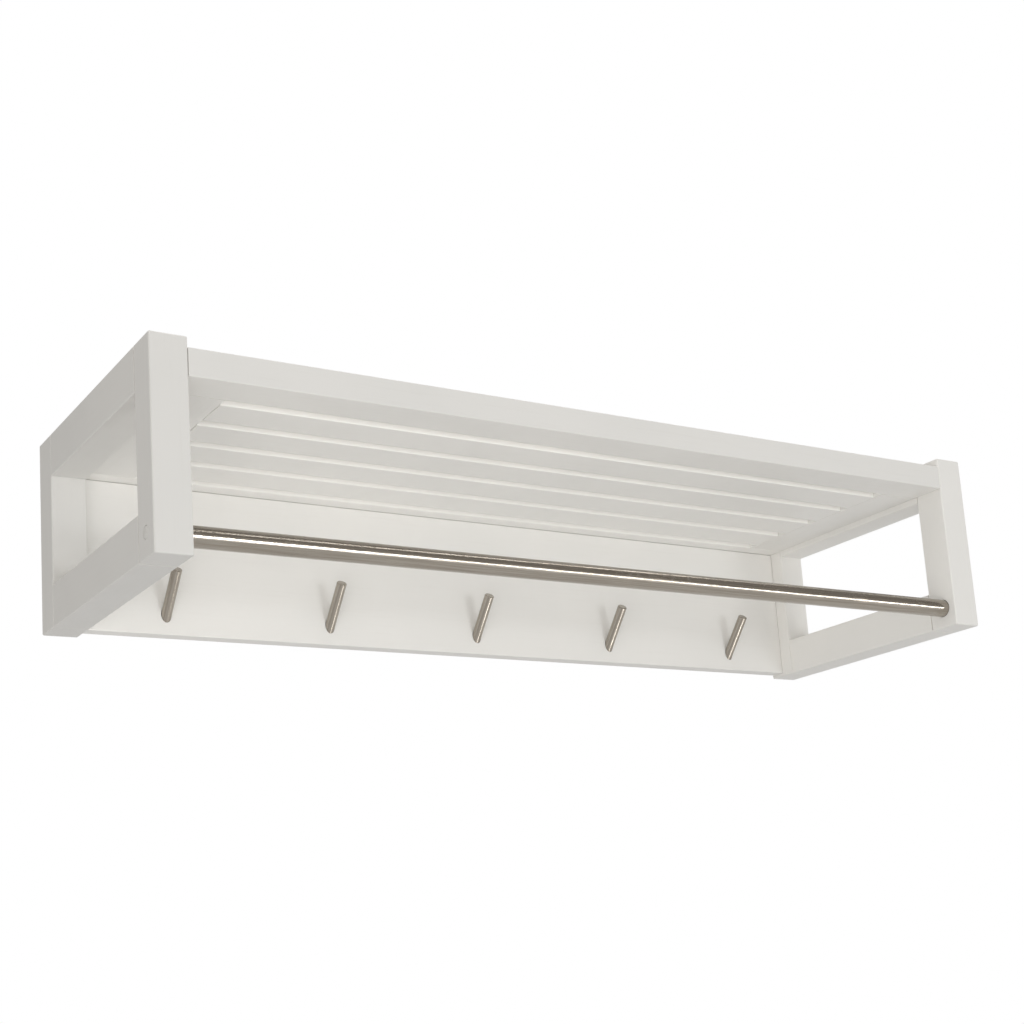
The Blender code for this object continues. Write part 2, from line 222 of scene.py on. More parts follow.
@dataclass(frozen=True)
class Bar:
    """A straight wooden member with soft arrises: a rounded rectangle carried along its length.

    Near each end the outline steps in along a quarter circle: at turn t it has moved in by
    end_ease * (1 - cos t) and stands end_ease * (1 - sin t) short of the end.
    """

    low: Vector
    high: Vector
    run: Axis
    ease: float
    end_ease: float = 0.0004
    end: BarEnd = BarEnd.PLAIN
    steps: int = 5
    tenon_ease: float = 0.0006
    tenon_tip_corner: float = 0.0002

    @property
    def body_half(self) -> float:
        """Half the length between the shoulders."""
        half = (self.high - self.low)[self.run.value] / 2
        return half - (TENON_LENGTH if self.end is BarEnd.TENON else 0.0)

    def stations(self) -> tuple[np.ndarray, np.ndarray, np.ndarray]:
        """Places along the second half of the bar.

        Returns:
            Distances from the middle, how far the outline has moved in there, and its corner radii.
        """
        turn = np.linspace(0.0, math.pi / 2, self.steps + 1)
        place = self.body_half - self.end_ease * (1 - np.sin(turn))
        inset = self.end_ease * (1 - np.cos(turn))
        radius = np.maximum(self.ease - inset, 0.0)
        if self.end is BarEnd.TENON:
            tip, ease = self.body_half + TENON_LENGTH, self.tenon_ease
            place = np.concatenate((place, [self.body_half, tip - ease, tip]))
            inset = np.concatenate((inset, np.array([0.0, 0.0, ease]) + TENON_SHOULDER))
            radius = np.concatenate((radius, [ease, ease, self.tenon_tip_corner]))
        return place, inset, radius

    def shell(self) -> Shell:
        """The bar as a closed surface, the first half mirrored from the second.

        Returns:
            The closed surface, in the bar's place.
        """
        place, inset, radius = self.stations()
        place = np.concatenate((-place[::-1], place))
        inset = np.concatenate((inset[::-1], inset))
        radius = np.concatenate((radius[::-1], radius))
        size = np.array(self.high - self.low)
        middle = np.array(self.high + self.low) / 2
        along = self.run.value
        first, second = (along + 1) % 3, (along + 2) % 3
        outline = rounded_outline(size[first] / 2 - inset, size[second] / 2 - inset, radius, self.steps)
        rings = np.empty(outline.shape[:2] + (3,))
        rings[..., along] = place[:, None]
        rings[..., first] = outline[..., 0]
        rings[..., second] = outline[..., 1]
        return lofted(rings + middle)

    def mark_arrises(self, piece: Piece) -> None:
        """Stores how far each point lies round an arris, 0 on the flats and near 1 on the crest.

        The distance to each pair of sides is divided by that direction's rounding; the second
        smallest of the three, taken from 1, is the mark.

        Args:
            piece: The finished piece.
        """
        mesh = piece.data
        points = np.empty(len(mesh.vertices) * 3)
        mesh.vertices.foreach_get("co", points)
        middle = np.array(self.high + self.low) / 2
        half = np.array(self.high - self.low) / 2
        half[self.run.value] = self.body_half
        rounding = np.full(3, max(self.ease, LEAST_ROUNDING))
        rounding[self.run.value] = max(self.end_ease, LEAST_ROUNDING)
        depth = (half - np.abs(points.reshape(-1, 3) - middle)) / rounding
        mark = np.clip(1.0 - np.sort(np.maximum(depth, 0.0), axis=1)[:, 1], 0.0, 1.0)
        layer = mesh.attributes.new("arris", "FLOAT", "POINT")
        layer.data.foreach_set("value", mark.astype(np.float32))


def box_shell(low: np.ndarray, high: np.ndarray) -> Shell:
    """A plain box as a closed surface, for a pocket or a mortise.

    Args:
        low: Lowest corner.
        high: Highest corner.

    Returns:
        The closed surface.
    """
    outline = np.array([[0, 0], [1, 0], [1, 1], [0, 1]], float)
    rings = np.empty((2, 4, 3))
    rings[..., :2] = outline
    rings[0, :, 2], rings[1, :, 2] = 0.0, 1.0
    return lofted(np.array(low) + rings * (np.array(high) - np.array(low)))


@dataclass(frozen=True)
class Spindle:
    """A frame for turned pieces: a point on the axis and the direction the axis points in."""

    origin: np.ndarray
    direction: np.ndarray

    def axes(self) -> tuple[np.ndarray, np.ndarray, np.ndarray]:
        """Directions of the frame, each of unit length.

        Returns:
            Two directions across the axis and the one along it.
        """
        along = self.direction / np.linalg.norm(self.direction)
        helper = np.eye(3)[int(np.argmin(np.abs(along)))]
        across = np.cross(helper, along)
        across /= np.linalg.norm(across)
        return across, np.cross(along, across), along

    def place(self, local: np.ndarray) -> np.ndarray:
        """Turns points given across, across and along the axis into points of the rack."""
        return self.origin + local @ np.stack(self.axes())

    def turn(self, profile: np.ndarray, steps: int, ring: bool = False) -> Shell:
        """Sweeps an outline of (radius, height) round the axis.

        A point is the origin plus radius * cos(turn) across, radius * sin(turn) across the other
        way, and height along. A solid profile starts and ends on the axis; a ring is a closed loop.

        Args:
            profile: Radius and height of each point of the outline.
            steps: Faces round the axis.
            ring: Whether the outline is a closed loop that never reaches the axis.

        Returns:
            The closed surface.
        """
        turn = np.linspace(0.0, 2 * math.pi, steps, endpoint=False)
        radius, height = profile[:, :1], profile[:, 1:]
        height = np.broadcast_to(height, (len(profile), steps))
        local = np.stack((radius * np.cos(turn), radius * np.sin(turn), height), axis=-1)
        return Shell(self.place(local.reshape(-1, 3)), grid_quads(len(profile), steps, ring))


def softened(profile: list[Span], ease: float, corners: set[int], steps: int = 4) -> np.ndarray:
    """Rounds chosen corners of an open outline.

    At a rounded corner the curve is the quadratic one through the two points that lie one ease
    away along both sides, with the corner as its control point.

    Args:
        profile: Corners of the outline.
        ease: Distance from the corner at which the curve starts.
        corners: Numbers of the corners to round.
        steps: Pieces of each curve.

    Returns:
        Points of the softened outline.
    """
    corner = np.array(profile, float)
    parts = []
    share = np.linspace(0.0, 1.0, steps + 1)[:, None]
    for number, point in enumerate(corner):
        if number not in corners:
            parts.append(point[None, :])
            continue
        before, after = corner[number - 1] - point, corner[number + 1] - point
        start = point + before / np.linalg.norm(before) * ease
        stop = point + after / np.linalg.norm(after) * ease
        parts.append((1 - share) ** 2 * start + 2 * share * (1 - share) * point + share**2 * stop)
    return np.concatenate(parts)


def rod(radius: float, low: float, high: float) -> np.ndarray:
    """Outline of a plain round rod between two heights."""
    return np.array([(0.0, high), (radius, high), (radius, low), (0.0, low)])


def ridged(radius: float, depth: float, start: float, stop: float, count: int) -> np.ndarray:
    """Outline of a thread as plain ridges, every second point one depth lower than the crests.

    Args:
        radius: Radius of the crests.
        depth: Depth of the valleys.
        start: Height of the first point.
        stop: Height of the last point.
        count: Number of points.

    Returns:
        Radius and height of each point.
    """
    valley = np.arange(count) % 2
    return np.stack((radius - depth * valley, np.linspace(start, stop, count)), axis=1)


# --------------------------------------------------------------------------- shaping


def freeze(piece: Piece) -> None:
    """Applies all modifiers of a piece to its mesh.

    Args:
        piece: The piece, which gets a new mesh of the same name.
    """
    bpy.context.view_layer.update()
    graph = bpy.context.evaluated_depsgraph_get()
    shaped = bpy.data.meshes.new_from_object(
        piece.evaluated_get(graph), preserve_all_data_layers=True, depsgraph=graph
    )
    piece.modifiers.clear()
    worn_out = piece.data
    piece.data = shaped
    bpy.data.meshes.remove(worn_out)
    shaped.name = piece.name


def carve(piece: Piece, shells: list[Shell]) -> None:
    """Takes each closed surface out of a piece.

    Args:
        piece: The piece to cut.
        shells: Surfaces of the holes and pockets.
    """
    cutters = [shell.to_piece(f"cutter_{number}") for number, shell in enumerate(shells)]
    for cutter in cutters:
        cut = piece.modifiers.new(cutter.name, "BOOLEAN")
        cut.operation = "DIFFERENCE"
        cut.solver = "EXACT"
        cut.object = cutter
    freeze(piece)
    for cutter in cutters:
        bpy.data.meshes.remove(cutter.data)


def polish(piece: Piece, sharp_degrees: float = 38.0, flat_weight: int = 80) -> None:
    """Shades a piece smooth between its sharp edges, with the flats kept flat.

    Args:
        piece: The piece to shade.
        sharp_degrees: Angle between two faces from which their edge stays sharp.
        flat_weight: How much large faces lead in the shading, from 1 to 100.
    """
    mesh = piece.data
    mesh.shade_smooth()
    mesh.set_sharp_from_angle(angle=math.radians(sharp_degrees))
    weigh = piece.modifiers.new("flat_faces_lead", "WEIGHTED_NORMAL")
    weigh.keep_sharp = True
    weigh.weight = flat_weight
    freeze(piece)


def install(piece: Piece, node: str) -> None:
    """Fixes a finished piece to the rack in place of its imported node.

    Args:
        piece: The finished piece.
        node: The node it stands for.
    """
    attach(piece, ROOT_BODY)
    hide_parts(node)
    log.info("%s: %d faces", piece.name, len(piece.data.polygons))


def node_ends(node: str) -> tuple[np.ndarray, np.ndarray]:
    """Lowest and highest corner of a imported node."""
    low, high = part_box(node)
    return np.array(low), np.array(high)


def face_spindle(node: str, way: np.ndarray, face: int = 1) -> Spindle:
    """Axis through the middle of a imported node, with its origin on one of the node's faces.

    Args:
        node: The node.
        way: Unit direction of the axis, along X, Y or Z.
        face: 1 for the face that the axis comes out of, -1 for the opposite one.

    Returns:
        The axis.
    """
    low, high = node_ends(node)
    return Spindle((low + high) / 2 + face * way * (high - low) / 2, way)


def dowel_hole(node: str, steps: int = 28) -> Shell:
    """Hole of a dowel: a cylinder along the dowel's long side, one clearance larger all round.

    Args:
        node: The dowel.
        steps: Faces round the hole.

    Returns:
        The closed surface of the hole.
    """
    low, high = node_ends(node)
    size = high - low
    along = int(np.argmax(size))
    radius = size[(along + 1) % 3] / 2 + CLEARANCE
    half = size[along] / 2 + CLEARANCE
    return Spindle((low + high) / 2, np.eye(3)[along]).turn(rod(radius, -half, half), steps)


def mortise(node: str, along: Axis) -> list[Shell]:
    """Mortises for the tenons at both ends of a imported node.

    Args:
        node: The node that carries the tenons.
        along: Direction in which the tenons point.

    Returns:
        One surface for the low end and one for the high end, each reaching out past the joint.
    """
    low, high = node_ends(node)
    inner_low, inner_high = low + TENON_SHOULDER - CLEARANCE, high - TENON_SHOULDER + CLEARANCE
    shells = []
    for end in (-1, 1):
        box_low, box_high = inner_low.copy(), inner_high.copy()
        tip = high[along.value] + CLEARANCE if end > 0 else low[along.value] - CLEARANCE
        root = tip - end * (2 * TENON_LENGTH)
        box_low[along.value], box_high[along.value] = min(tip, root), max(tip, root)
        shells.append(box_shell(box_low, box_high))
    return shells


# --------------------------------------------------------------------------- finishes


class Workbench:
    """The nodes of one material, with short ways to add the ones that finishes need."""

    # Numbers of the share, both colours and the result among a mix node's sockets.
    MIX_INPUTS = (0, 6, 7)
    MIX_OUTPUT = 2

    def __init__(self, name: str) -> None:
        """Starts a material with an empty surface shader.

        Args:
            name: Name of the material.
        """
        self.material = bpy.data.materials.new(name)
        self.material.use_nodes = True
        self.tree = self.material.node_tree
        self.shader = self.tree.nodes["Principled BSDF"]

    def node(self, kind: str, **settings: object) -> bpy.types.Node:
        """Adds a node and sets its own options.

        Args:
            kind: Kind of node.
            settings: Options of the node by name.

        Returns:
            The new node.
        """
        made = self.tree.nodes.new(kind)
        for key, value in settings.items():
            setattr(made, key, value)
        return made

    def feed(self, socket: Socket, value: Value) -> None:
        """Links a socket to a value's socket, or sets its number or colour.

        Args:
            socket: The socket to feed.
            value: What goes into it.
        """
        if isinstance(value, Socket):
            self.tree.links.new(value, socket)
        else:
            socket.default_value = value

    def place(
        self,
        scale: Point = (1.0, 1.0, 1.0),
        turn: Point = (0.0, 0.0, 0.0),
        shift: Point = (0.0, 0.0, 0.0),
    ) -> Socket:
        """Object coordinates, moved by shift, turned back by turn and stretched by scale.

        Args:
            scale: Stretch along each of the turned directions.
            turn: Turn of the pattern, in radians.
            shift: Place that becomes the pattern's centre.

        Returns:
            The coordinates' socket.
        """
        where = self.node("ShaderNodeTexCoord").outputs["Object"]
        back = tuple(-value for value in shift)
        for key, value in (("Location", back), ("Rotation", turn), ("Scale", scale)):
            step = self.node("ShaderNodeMapping", vector_type="POINT")
            self.feed(step.inputs["Vector"], where)
            step.inputs[key].default_value = value
            where = step.outputs["Vector"]
        return where

    def noise(self, where: Socket, scale: float, detail: float = 2.0, rough: float = 0.5) -> Socket:
        """Cloudy noise around one half.

        Args:
            where: Coordinates of the pattern.
            scale: Clouds to a metre.
            detail: How many times finer clouds are added.
            rough: Strength of each finer layer against the one before it.

        Returns:
            The noise's socket.
        """
        made = self.node("ShaderNodeTexNoise")
        self.feed(made.inputs["Vector"], where)
        for key, number in (("Scale", scale), ("Detail", detail), ("Roughness", rough)):
            made.inputs[key].default_value = number
        return made.outputs[0]

    def cells(self, where: Socket, scale: float) -> Socket:
        """Distance to the nearest of many scattered points.

        Args:
            where: Coordinates of the pattern.
            scale: Points to a metre.

        Returns:
            The distance's socket.
        """
        made = self.node("ShaderNodeTexVoronoi")
        self.feed(made.inputs["Vector"], where)
        made.inputs["Scale"].default_value = scale
        return made.outputs["Distance"]

    def spread(self, value: Socket, source: Span, target: Span) -> Socket:
        """Carries one range over to another with soft ends, and stays inside it.

        Args:
            value: The number to carry over.
            source: Range of the number.
            target: Range of the result.

        Returns:
            The result's socket.
        """
        made = self.node("ShaderNodeMapRange", interpolation_type="SMOOTHSTEP")
        for key, number in zip(("From Min", "From Max", "To Min", "To Max"), source + target):
            made.inputs[key].default_value = number
        self.feed(made.inputs["Value"], value)
        return made.outputs["Result"]

    def blend(self, share: Value, first: Value, second: Value) -> Socket:
        """Mixes two colours.

        Args:
            share: Share of the second colour, from 0 to 1.
            first: First colour.
            second: Second colour.

        Returns:
            The mixed colour's socket.
        """
        made = self.node("ShaderNodeMix", data_type="RGBA")
        for number, value in zip(self.MIX_INPUTS, (share, first, second)):
            self.feed(made.inputs[number], value)
        return made.outputs[self.MIX_OUTPUT]

    def tint(self, colour: Value, pattern: Socket, span: Span, most: float, tone: Colour) -> Socket:
        """Turns a colour towards a tone where a pattern is strong.

        Args:
            colour: The colour to start from.
            pattern: The pattern.
            span: Range of the pattern over which the tone comes in.
            most: Greatest share of the tone.
            tone: The tone.

        Returns:
            The new colour's socket.
        """
        return self.blend(self.spread(pattern, span, (0.0, most)), colour, tone)

    def maths(self, way: str, *values: Value) -> Socket:
        """Joins numbers by one operation.

        Args:
            way: Name of the operation.
            values: The numbers, in the operation's order.

        Returns:
            The result's socket.
        """
        made = self.node("ShaderNodeMath", operation=way)
        for socket, value in zip(made.inputs, values):
            self.feed(socket, value)
        return made.outputs[0]

    def relief(self, *layers: tuple[Socket, float]) -> Socket | None:
        """Surface relief in layers, each laid over the one before it.

        Args:
            layers: Height and depth in metres of each layer.

        Returns:
            The relief's socket.
        """
        normal = None
        for height, depth in layers:
            made = self.node("ShaderNodeBump")
            made.inputs["Strength"].default_value = 1.0
            made.inputs["Distance"].default_value = depth
            self.feed(made.inputs["Height"], height)
            if normal is not None:
                self.feed(made.inputs["Normal"], normal)
            normal = made.outputs["Normal"]
        return normal

    def mark(self, name: str) -> Socket:
        """Value of a mark stored on the mesh."""
        return self.node("ShaderNodeAttribute", attribute_name=name).outputs["Fac"]

    def finish(self, colour: Socket, roughness: Socket, normal: Socket, **constants: float) -> Material:
        """Connects the varying inputs of the surface and sets its constant ones.

        Args:
            colour: Colour of the surface.
            roughness: Roughness of the surface.
            normal: Relief of the surface.
            constants: Other inputs of the shader, spaces written as underscores.

        Returns:
            The finished material.
        """
        self.feed(self.shader.inputs["Base Color"], colour)
        self.feed(self.shader.inputs["Roughness"], roughness)
        self.feed(self.shader.inputs["Normal"], normal)
        for key, value in constants.items():
            self.shader.inputs[key.replace("_", " ")].default_value = value
        return self.material


def coat(piece: Piece, material: Material) -> None:
    """Gives a piece one finish all over.

    Args:
        piece: The piece.
        material: Its finish.
    """
    if not piece.data.materials:
        piece.data.materials.append(material)
    for slot in piece.material_slots:
        slot.material = material


def complete(piece: Piece, material: Material, node: str, sharp_degrees: float) -> Piece:
    """Smooths a metal or plastic piece, gives it its finish and fixes it to the rack.

    Args:
        piece: The shaped piece.
        material: Its finish.
        node: The node it stands for.
        sharp_degrees: Angle between two faces from which their edge stays sharp.

    Returns:
        The finished piece.
    """
    polish(piece, sharp_degrees)
    coat(piece, material)
    install(piece, node)
    return piece


def stretch_along(run: Axis, along: float) -> Point:
    """Pattern scale that is small along one axis, so that the pattern is drawn out there.

    Args:
        run: The axis.
        along: Scale along that axis.

    Returns:
        Scale along X, Y and Z.
    """
    scale = [1.0, 1.0, 1.0]
    scale[run.value] = along
    return tuple(scale)


@dataclass(frozen=True)
class WhiteLacquer:
    """Sprayed white satin lacquer over sanded wood, with the grain just showing through."""

    white: Colour = (0.885, 0.872, 0.842, 1.0)
    cool_white: Colour = (0.858, 0.848, 0.820, 1.0)
    thin_edge: Colour = (0.810, 0.790, 0.745, 1.0)
    grain_tone: Colour = (0.790, 0.772, 0.732, 1.0)
    coat_weight: float = 0.18
    coat_roughness: float = 0.22
    grain_depth: float = 0.00004
    pore_depth: float = 0.000016
    peel_depth: float = 0.000022

    def along(self, run: Axis) -> Material:
        """The finish for a member whose grain runs along one axis.

        Args:
            run: Direction of the grain.

        Returns:
            The material, made once and used again for the same direction.
        """
        name = f"white_lacquer_grain_{run.name.lower()}"
        known = bpy.data.materials.get(name)
        if known is not None:
            return known
        bench = Workbench(name)
        plain = bench.place()
        grain_place = bench.place(scale=stretch_along(run, 0.035))
        pore_place = bench.place(scale=stretch_along(run, 0.09))
        drift = bench.noise(plain, scale=5.0, detail=3.0)
        patches = bench.noise(plain, scale=38.0, detail=2.0)
        grain = bench.noise(grain_place, scale=420.0, detail=4.0, rough=0.6)
        pores = bench.noise(pore_place, scale=1500.0, detail=2.0, rough=0.55)
        peel = bench.noise(plain, scale=520.0, detail=1.0)
        arris = bench.mark("arris")
        colour = bench.tint(self.white, drift, (0.35, 0.65), 1.0, self.cool_white)
        colour = bench.tint(colour, patches, (0.4, 0.75), 0.25, self.cool_white)
        colour = bench.tint(colour, grain, (0.52, 0.75), 0.16, self.grain_tone)
        colour = bench.tint(colour, pores, (0.62, 0.74), 0.12, self.grain_tone)
        crest = bench.spread(arris, (0.25, 0.75), (0.0, 0.55))
        thin = bench.maths("MULTIPLY", crest, bench.spread(patches, (0.3, 0.7), (0.35, 1.0)))
        colour = bench.blend(thin, colour, self.thin_edge)
        roughness = bench.spread(patches, (0.3, 0.7), (0.36, 0.46))
        for pattern, span, most in ((grain, (0.45, 0.8), 0.07), (arris, (0.2, 0.8), -0.04)):
            roughness = bench.maths("ADD", roughness, bench.spread(pattern, span, (0.0, most)))
        relief = bench.relief((grain, self.grain_depth), (pores, self.pore_depth), (peel, self.peel_depth))
        constants = {"Coat_Weight": self.coat_weight, "Coat_Roughness": self.coat_roughness}
        return bench.finish(colour, roughness, relief, **constants)


@dataclass(frozen=True)
class BrushedSteel:
    """Stainless steel drawn through an abrasive belt: fine lines along the run, warm grey."""

    bright: Colour = (0.500, 0.462, 0.412, 1.0)
    dull: Colour = (0.370, 0.335, 0.290, 1.0)
    finger_tone: Colour = (0.420, 0.375, 0.318, 1.0)
    line_depth: float = 0.0000035
    broad_depth: float = 0.0000012
    scratch_depth: float = 0.0000018

    def drawn(self, name: str, origin: np.ndarray, tilt: float, run: Axis) -> Material:
        """The finish for a round bar.

        Args:
            name: Name of the material.
            origin: A point on the bar's axis.
            tilt: Turn of the bar about X, in radians, away from its run.
            run: Direction of the bar before that turn.

        Returns:
            The material.
        """
        bench = Workbench(name)
        turn, shift = (-tilt, 0.0, 0.0), tuple(float(value) for value in origin)
        fine, wide, short = (
            bench.place(stretch_along(run, along), turn, shift) for along in (0.012, 0.02, 0.2)
        )
        lines = bench.noise(fine, scale=2600.0, detail=3.0, rough=0.65)
        broad = bench.noise(wide, scale=700.0, detail=2.0, rough=0.55)
        scratches = bench.noise(short, scale=900.0, detail=4.0, rough=0.7)
        smears = bench.noise(bench.place(), scale=34.0, detail=3.0)
        colour = bench.tint(self.bright, broad, (0.3, 0.7), 1.0, self.dull)
        colour = bench.tint(colour, lines, (0.35, 0.7), 0.55, self.dull)
        colour = bench.tint(colour, smears, (0.5, 0.8), 0.35, self.finger_tone)
        roughness = bench.spread(lines, (0.3, 0.7), (0.14, 0.26))
        roughness = bench.maths("ADD", roughness, bench.spread(smears, (0.45, 0.8), (0.0, 0.06)))
        layers = ((lines, self.line_depth), (broad, self.broad_depth), (scratches, self.scratch_depth))
        return bench.finish(colour, roughness, bench.relief(*layers), Metallic=1.0)


@dataclass(frozen=True)
class ZincPlate:
    """Bright zinc over pressed steel, slightly clouded."""

    bright: Colour = (0.62, 0.635, 0.65, 1.0)
    cloud: Colour = (0.46, 0.475, 0.49, 1.0)
    rub: Colour = (0.36, 0.355, 0.345, 1.0)
    relief_depth: float = 0.000012

    def make(self, name: str) -> Material:
        """The finish as a material.

        Args:
            name: Name of the material.

        Returns:
            The material.
        """
        bench = Workbench(name)
        plain = bench.place()
        clouds = bench.noise(plain, scale=160.0, detail=4.0, rough=0.6)
        grains = bench.cells(plain, scale=1400.0)
        rubs = bench.noise(bench.place(stretch_along(Axis.Z, 0.15)), scale=900.0, detail=3.0, rough=0.7)
        colour = bench.tint(self.bright, clouds, (0.35, 0.7), 1.0, self.cloud)
        colour = bench.tint(colour, grains, (0.1, 0.8), 0.3, self.cloud)
        colour = bench.tint(colour, rubs, (0.6, 0.78), 0.6, self.rub)
        roughness = bench.spread(clouds, (0.3, 0.7), (0.3, 0.46))
        roughness = bench.maths("ADD", roughness, bench.spread(rubs, (0.6, 0.8), (0.0, 0.12)))
        relief = bench.relief((grains, self.relief_depth), (rubs, self.relief_depth))
        return bench.finish(colour, roughness, relief, Metallic=1.0)


@dataclass(frozen=True)
class TurnedBrass:
    """Plain turned brass with tool rings and a little dark bloom."""

    bright: Colour = (0.74, 0.56, 0.27, 1.0)
    bloom: Colour = (0.45, 0.30, 0.13, 1.0)
    ring_depth: float = 0.00002

    def make(self, name: str) -> Material:
        """The finish as a material.

        Args:
            name: Name of the material.

        Returns:
            The material.
        """
        bench = Workbench(name)
        rings = bench.noise(bench.place(stretch_along(Axis.X, 0.05)), scale=2200.0, detail=2.0)
        bloom = bench.noise(bench.place(), scale=420.0, detail=3.0)
        colour = bench.tint(self.bright, bloom, (0.45, 0.75), 0.8, self.bloom)
        roughness = bench.spread(rings, (0.3, 0.7), (0.24, 0.42))
        return bench.finish(colour, roughness, bench.relief((rings, self.ring_depth)), Metallic=1.0)


@dataclass(frozen=True)
class BareBeech:
    """Unfinished beech with its short darker flecks along the grain."""

    wood: Colour = (0.66, 0.44, 0.27, 1.0)
    late_wood: Colour = (0.54, 0.33, 0.18, 1.0)
    fleck: Colour = (0.36, 0.19, 0.09, 1.0)
    ring_depth: float = 0.00005
    fleck_depth: float = 0.00003

    def along(self, run: Axis) -> Material:
        """The finish for a dowel that runs along one axis.

        Args:
            run: Direction of the dowel.

        Returns:
            The material, made once and used again for the same direction.
        """
        name = f"bare_beech_grain_{run.name.lower()}"
        known = bpy.data.materials.get(name)
        if known is not None:
            return known
        bench = Workbench(name)
        rings = bench.noise(bench.place(stretch_along(run, 0.06)), scale=520.0, detail=4.0, rough=0.6)
        flecks = bench.noise(bench.place(stretch_along(run, 0.16)), scale=1900.0, detail=2.0)
        colour = bench.tint(self.wood, rings, (0.35, 0.7), 1.0, self.late_wood)
        colour = bench.tint(colour, flecks, (0.58, 0.68), 0.75, self.fleck)
        roughness = bench.spread(rings, (0.3, 0.7), (0.58, 0.76))
        relief = bench.relief((rings, self.ring_depth), (flecks, self.fleck_depth))
        return bench.finish(colour, roughness, relief)


@dataclass(frozen=True)
class MouldedPlastic:
    """White moulded plastic with a fine spark-eroded skin."""

    white: Colour = (0.83, 0.82, 0.79, 1.0)
    shade: Colour = (0.78, 0.765, 0.73, 1.0)
    skin_depth: float = 0.000012
    coat_weight: float = 0.05

    def make(self, name: str) -> Material:
        """The finish as a material.

        Args:
            name: Name of the material.

        Returns:
            The material.
        """
        bench = Workbench(name)
        plain = bench.place()
        flow = bench.noise(plain, scale=260.0, detail=3.0)
        skin = bench.noise(plain, scale=4200.0, detail=2.0)
        colour = bench.tint(self.white, flow, (0.35, 0.7), 1.0, self.shade)
        roughness = bench.spread(skin, (0.3, 0.7), (0.38, 0.5))
        relief = bench.relief((skin, self.skin_depth))
        return bench.finish(colour, roughness, relief, Coat_Weight=self.coat_weight)


# --------------------------------------------------------------------------- wooden members


@dataclass
class WoodenMember:
    """One lacquered wooden member: a soft-edged bar with its holes and mortises."""

    node: str
    run: Axis
    ease: float
    end_ease: float = 0.0004
    end: BarEnd = BarEnd.PLAIN
    holes: list[Shell] = field(default_factory=list)

    def build(self, lacquer: WhiteLacquer) -> Piece:
        """Shapes, cuts and lacquers the member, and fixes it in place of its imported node.

        Args:
            lacquer: The finish of the wood.

        Returns:
            The finished piece.
        """
        low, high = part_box(self.node)
        bar = Bar(low, high, self.run, self.ease, self.end_ease, self.end)
        piece = bar.shell().to_piece(f"{self.node}_lacquered")
        if self.holes:
            carve(piece, self.holes)
        polish(piece)
        bar.mark_arrises(piece)
        coat(piece, lacquer.along(self.run))
        install(piece, self.node)
        return piece


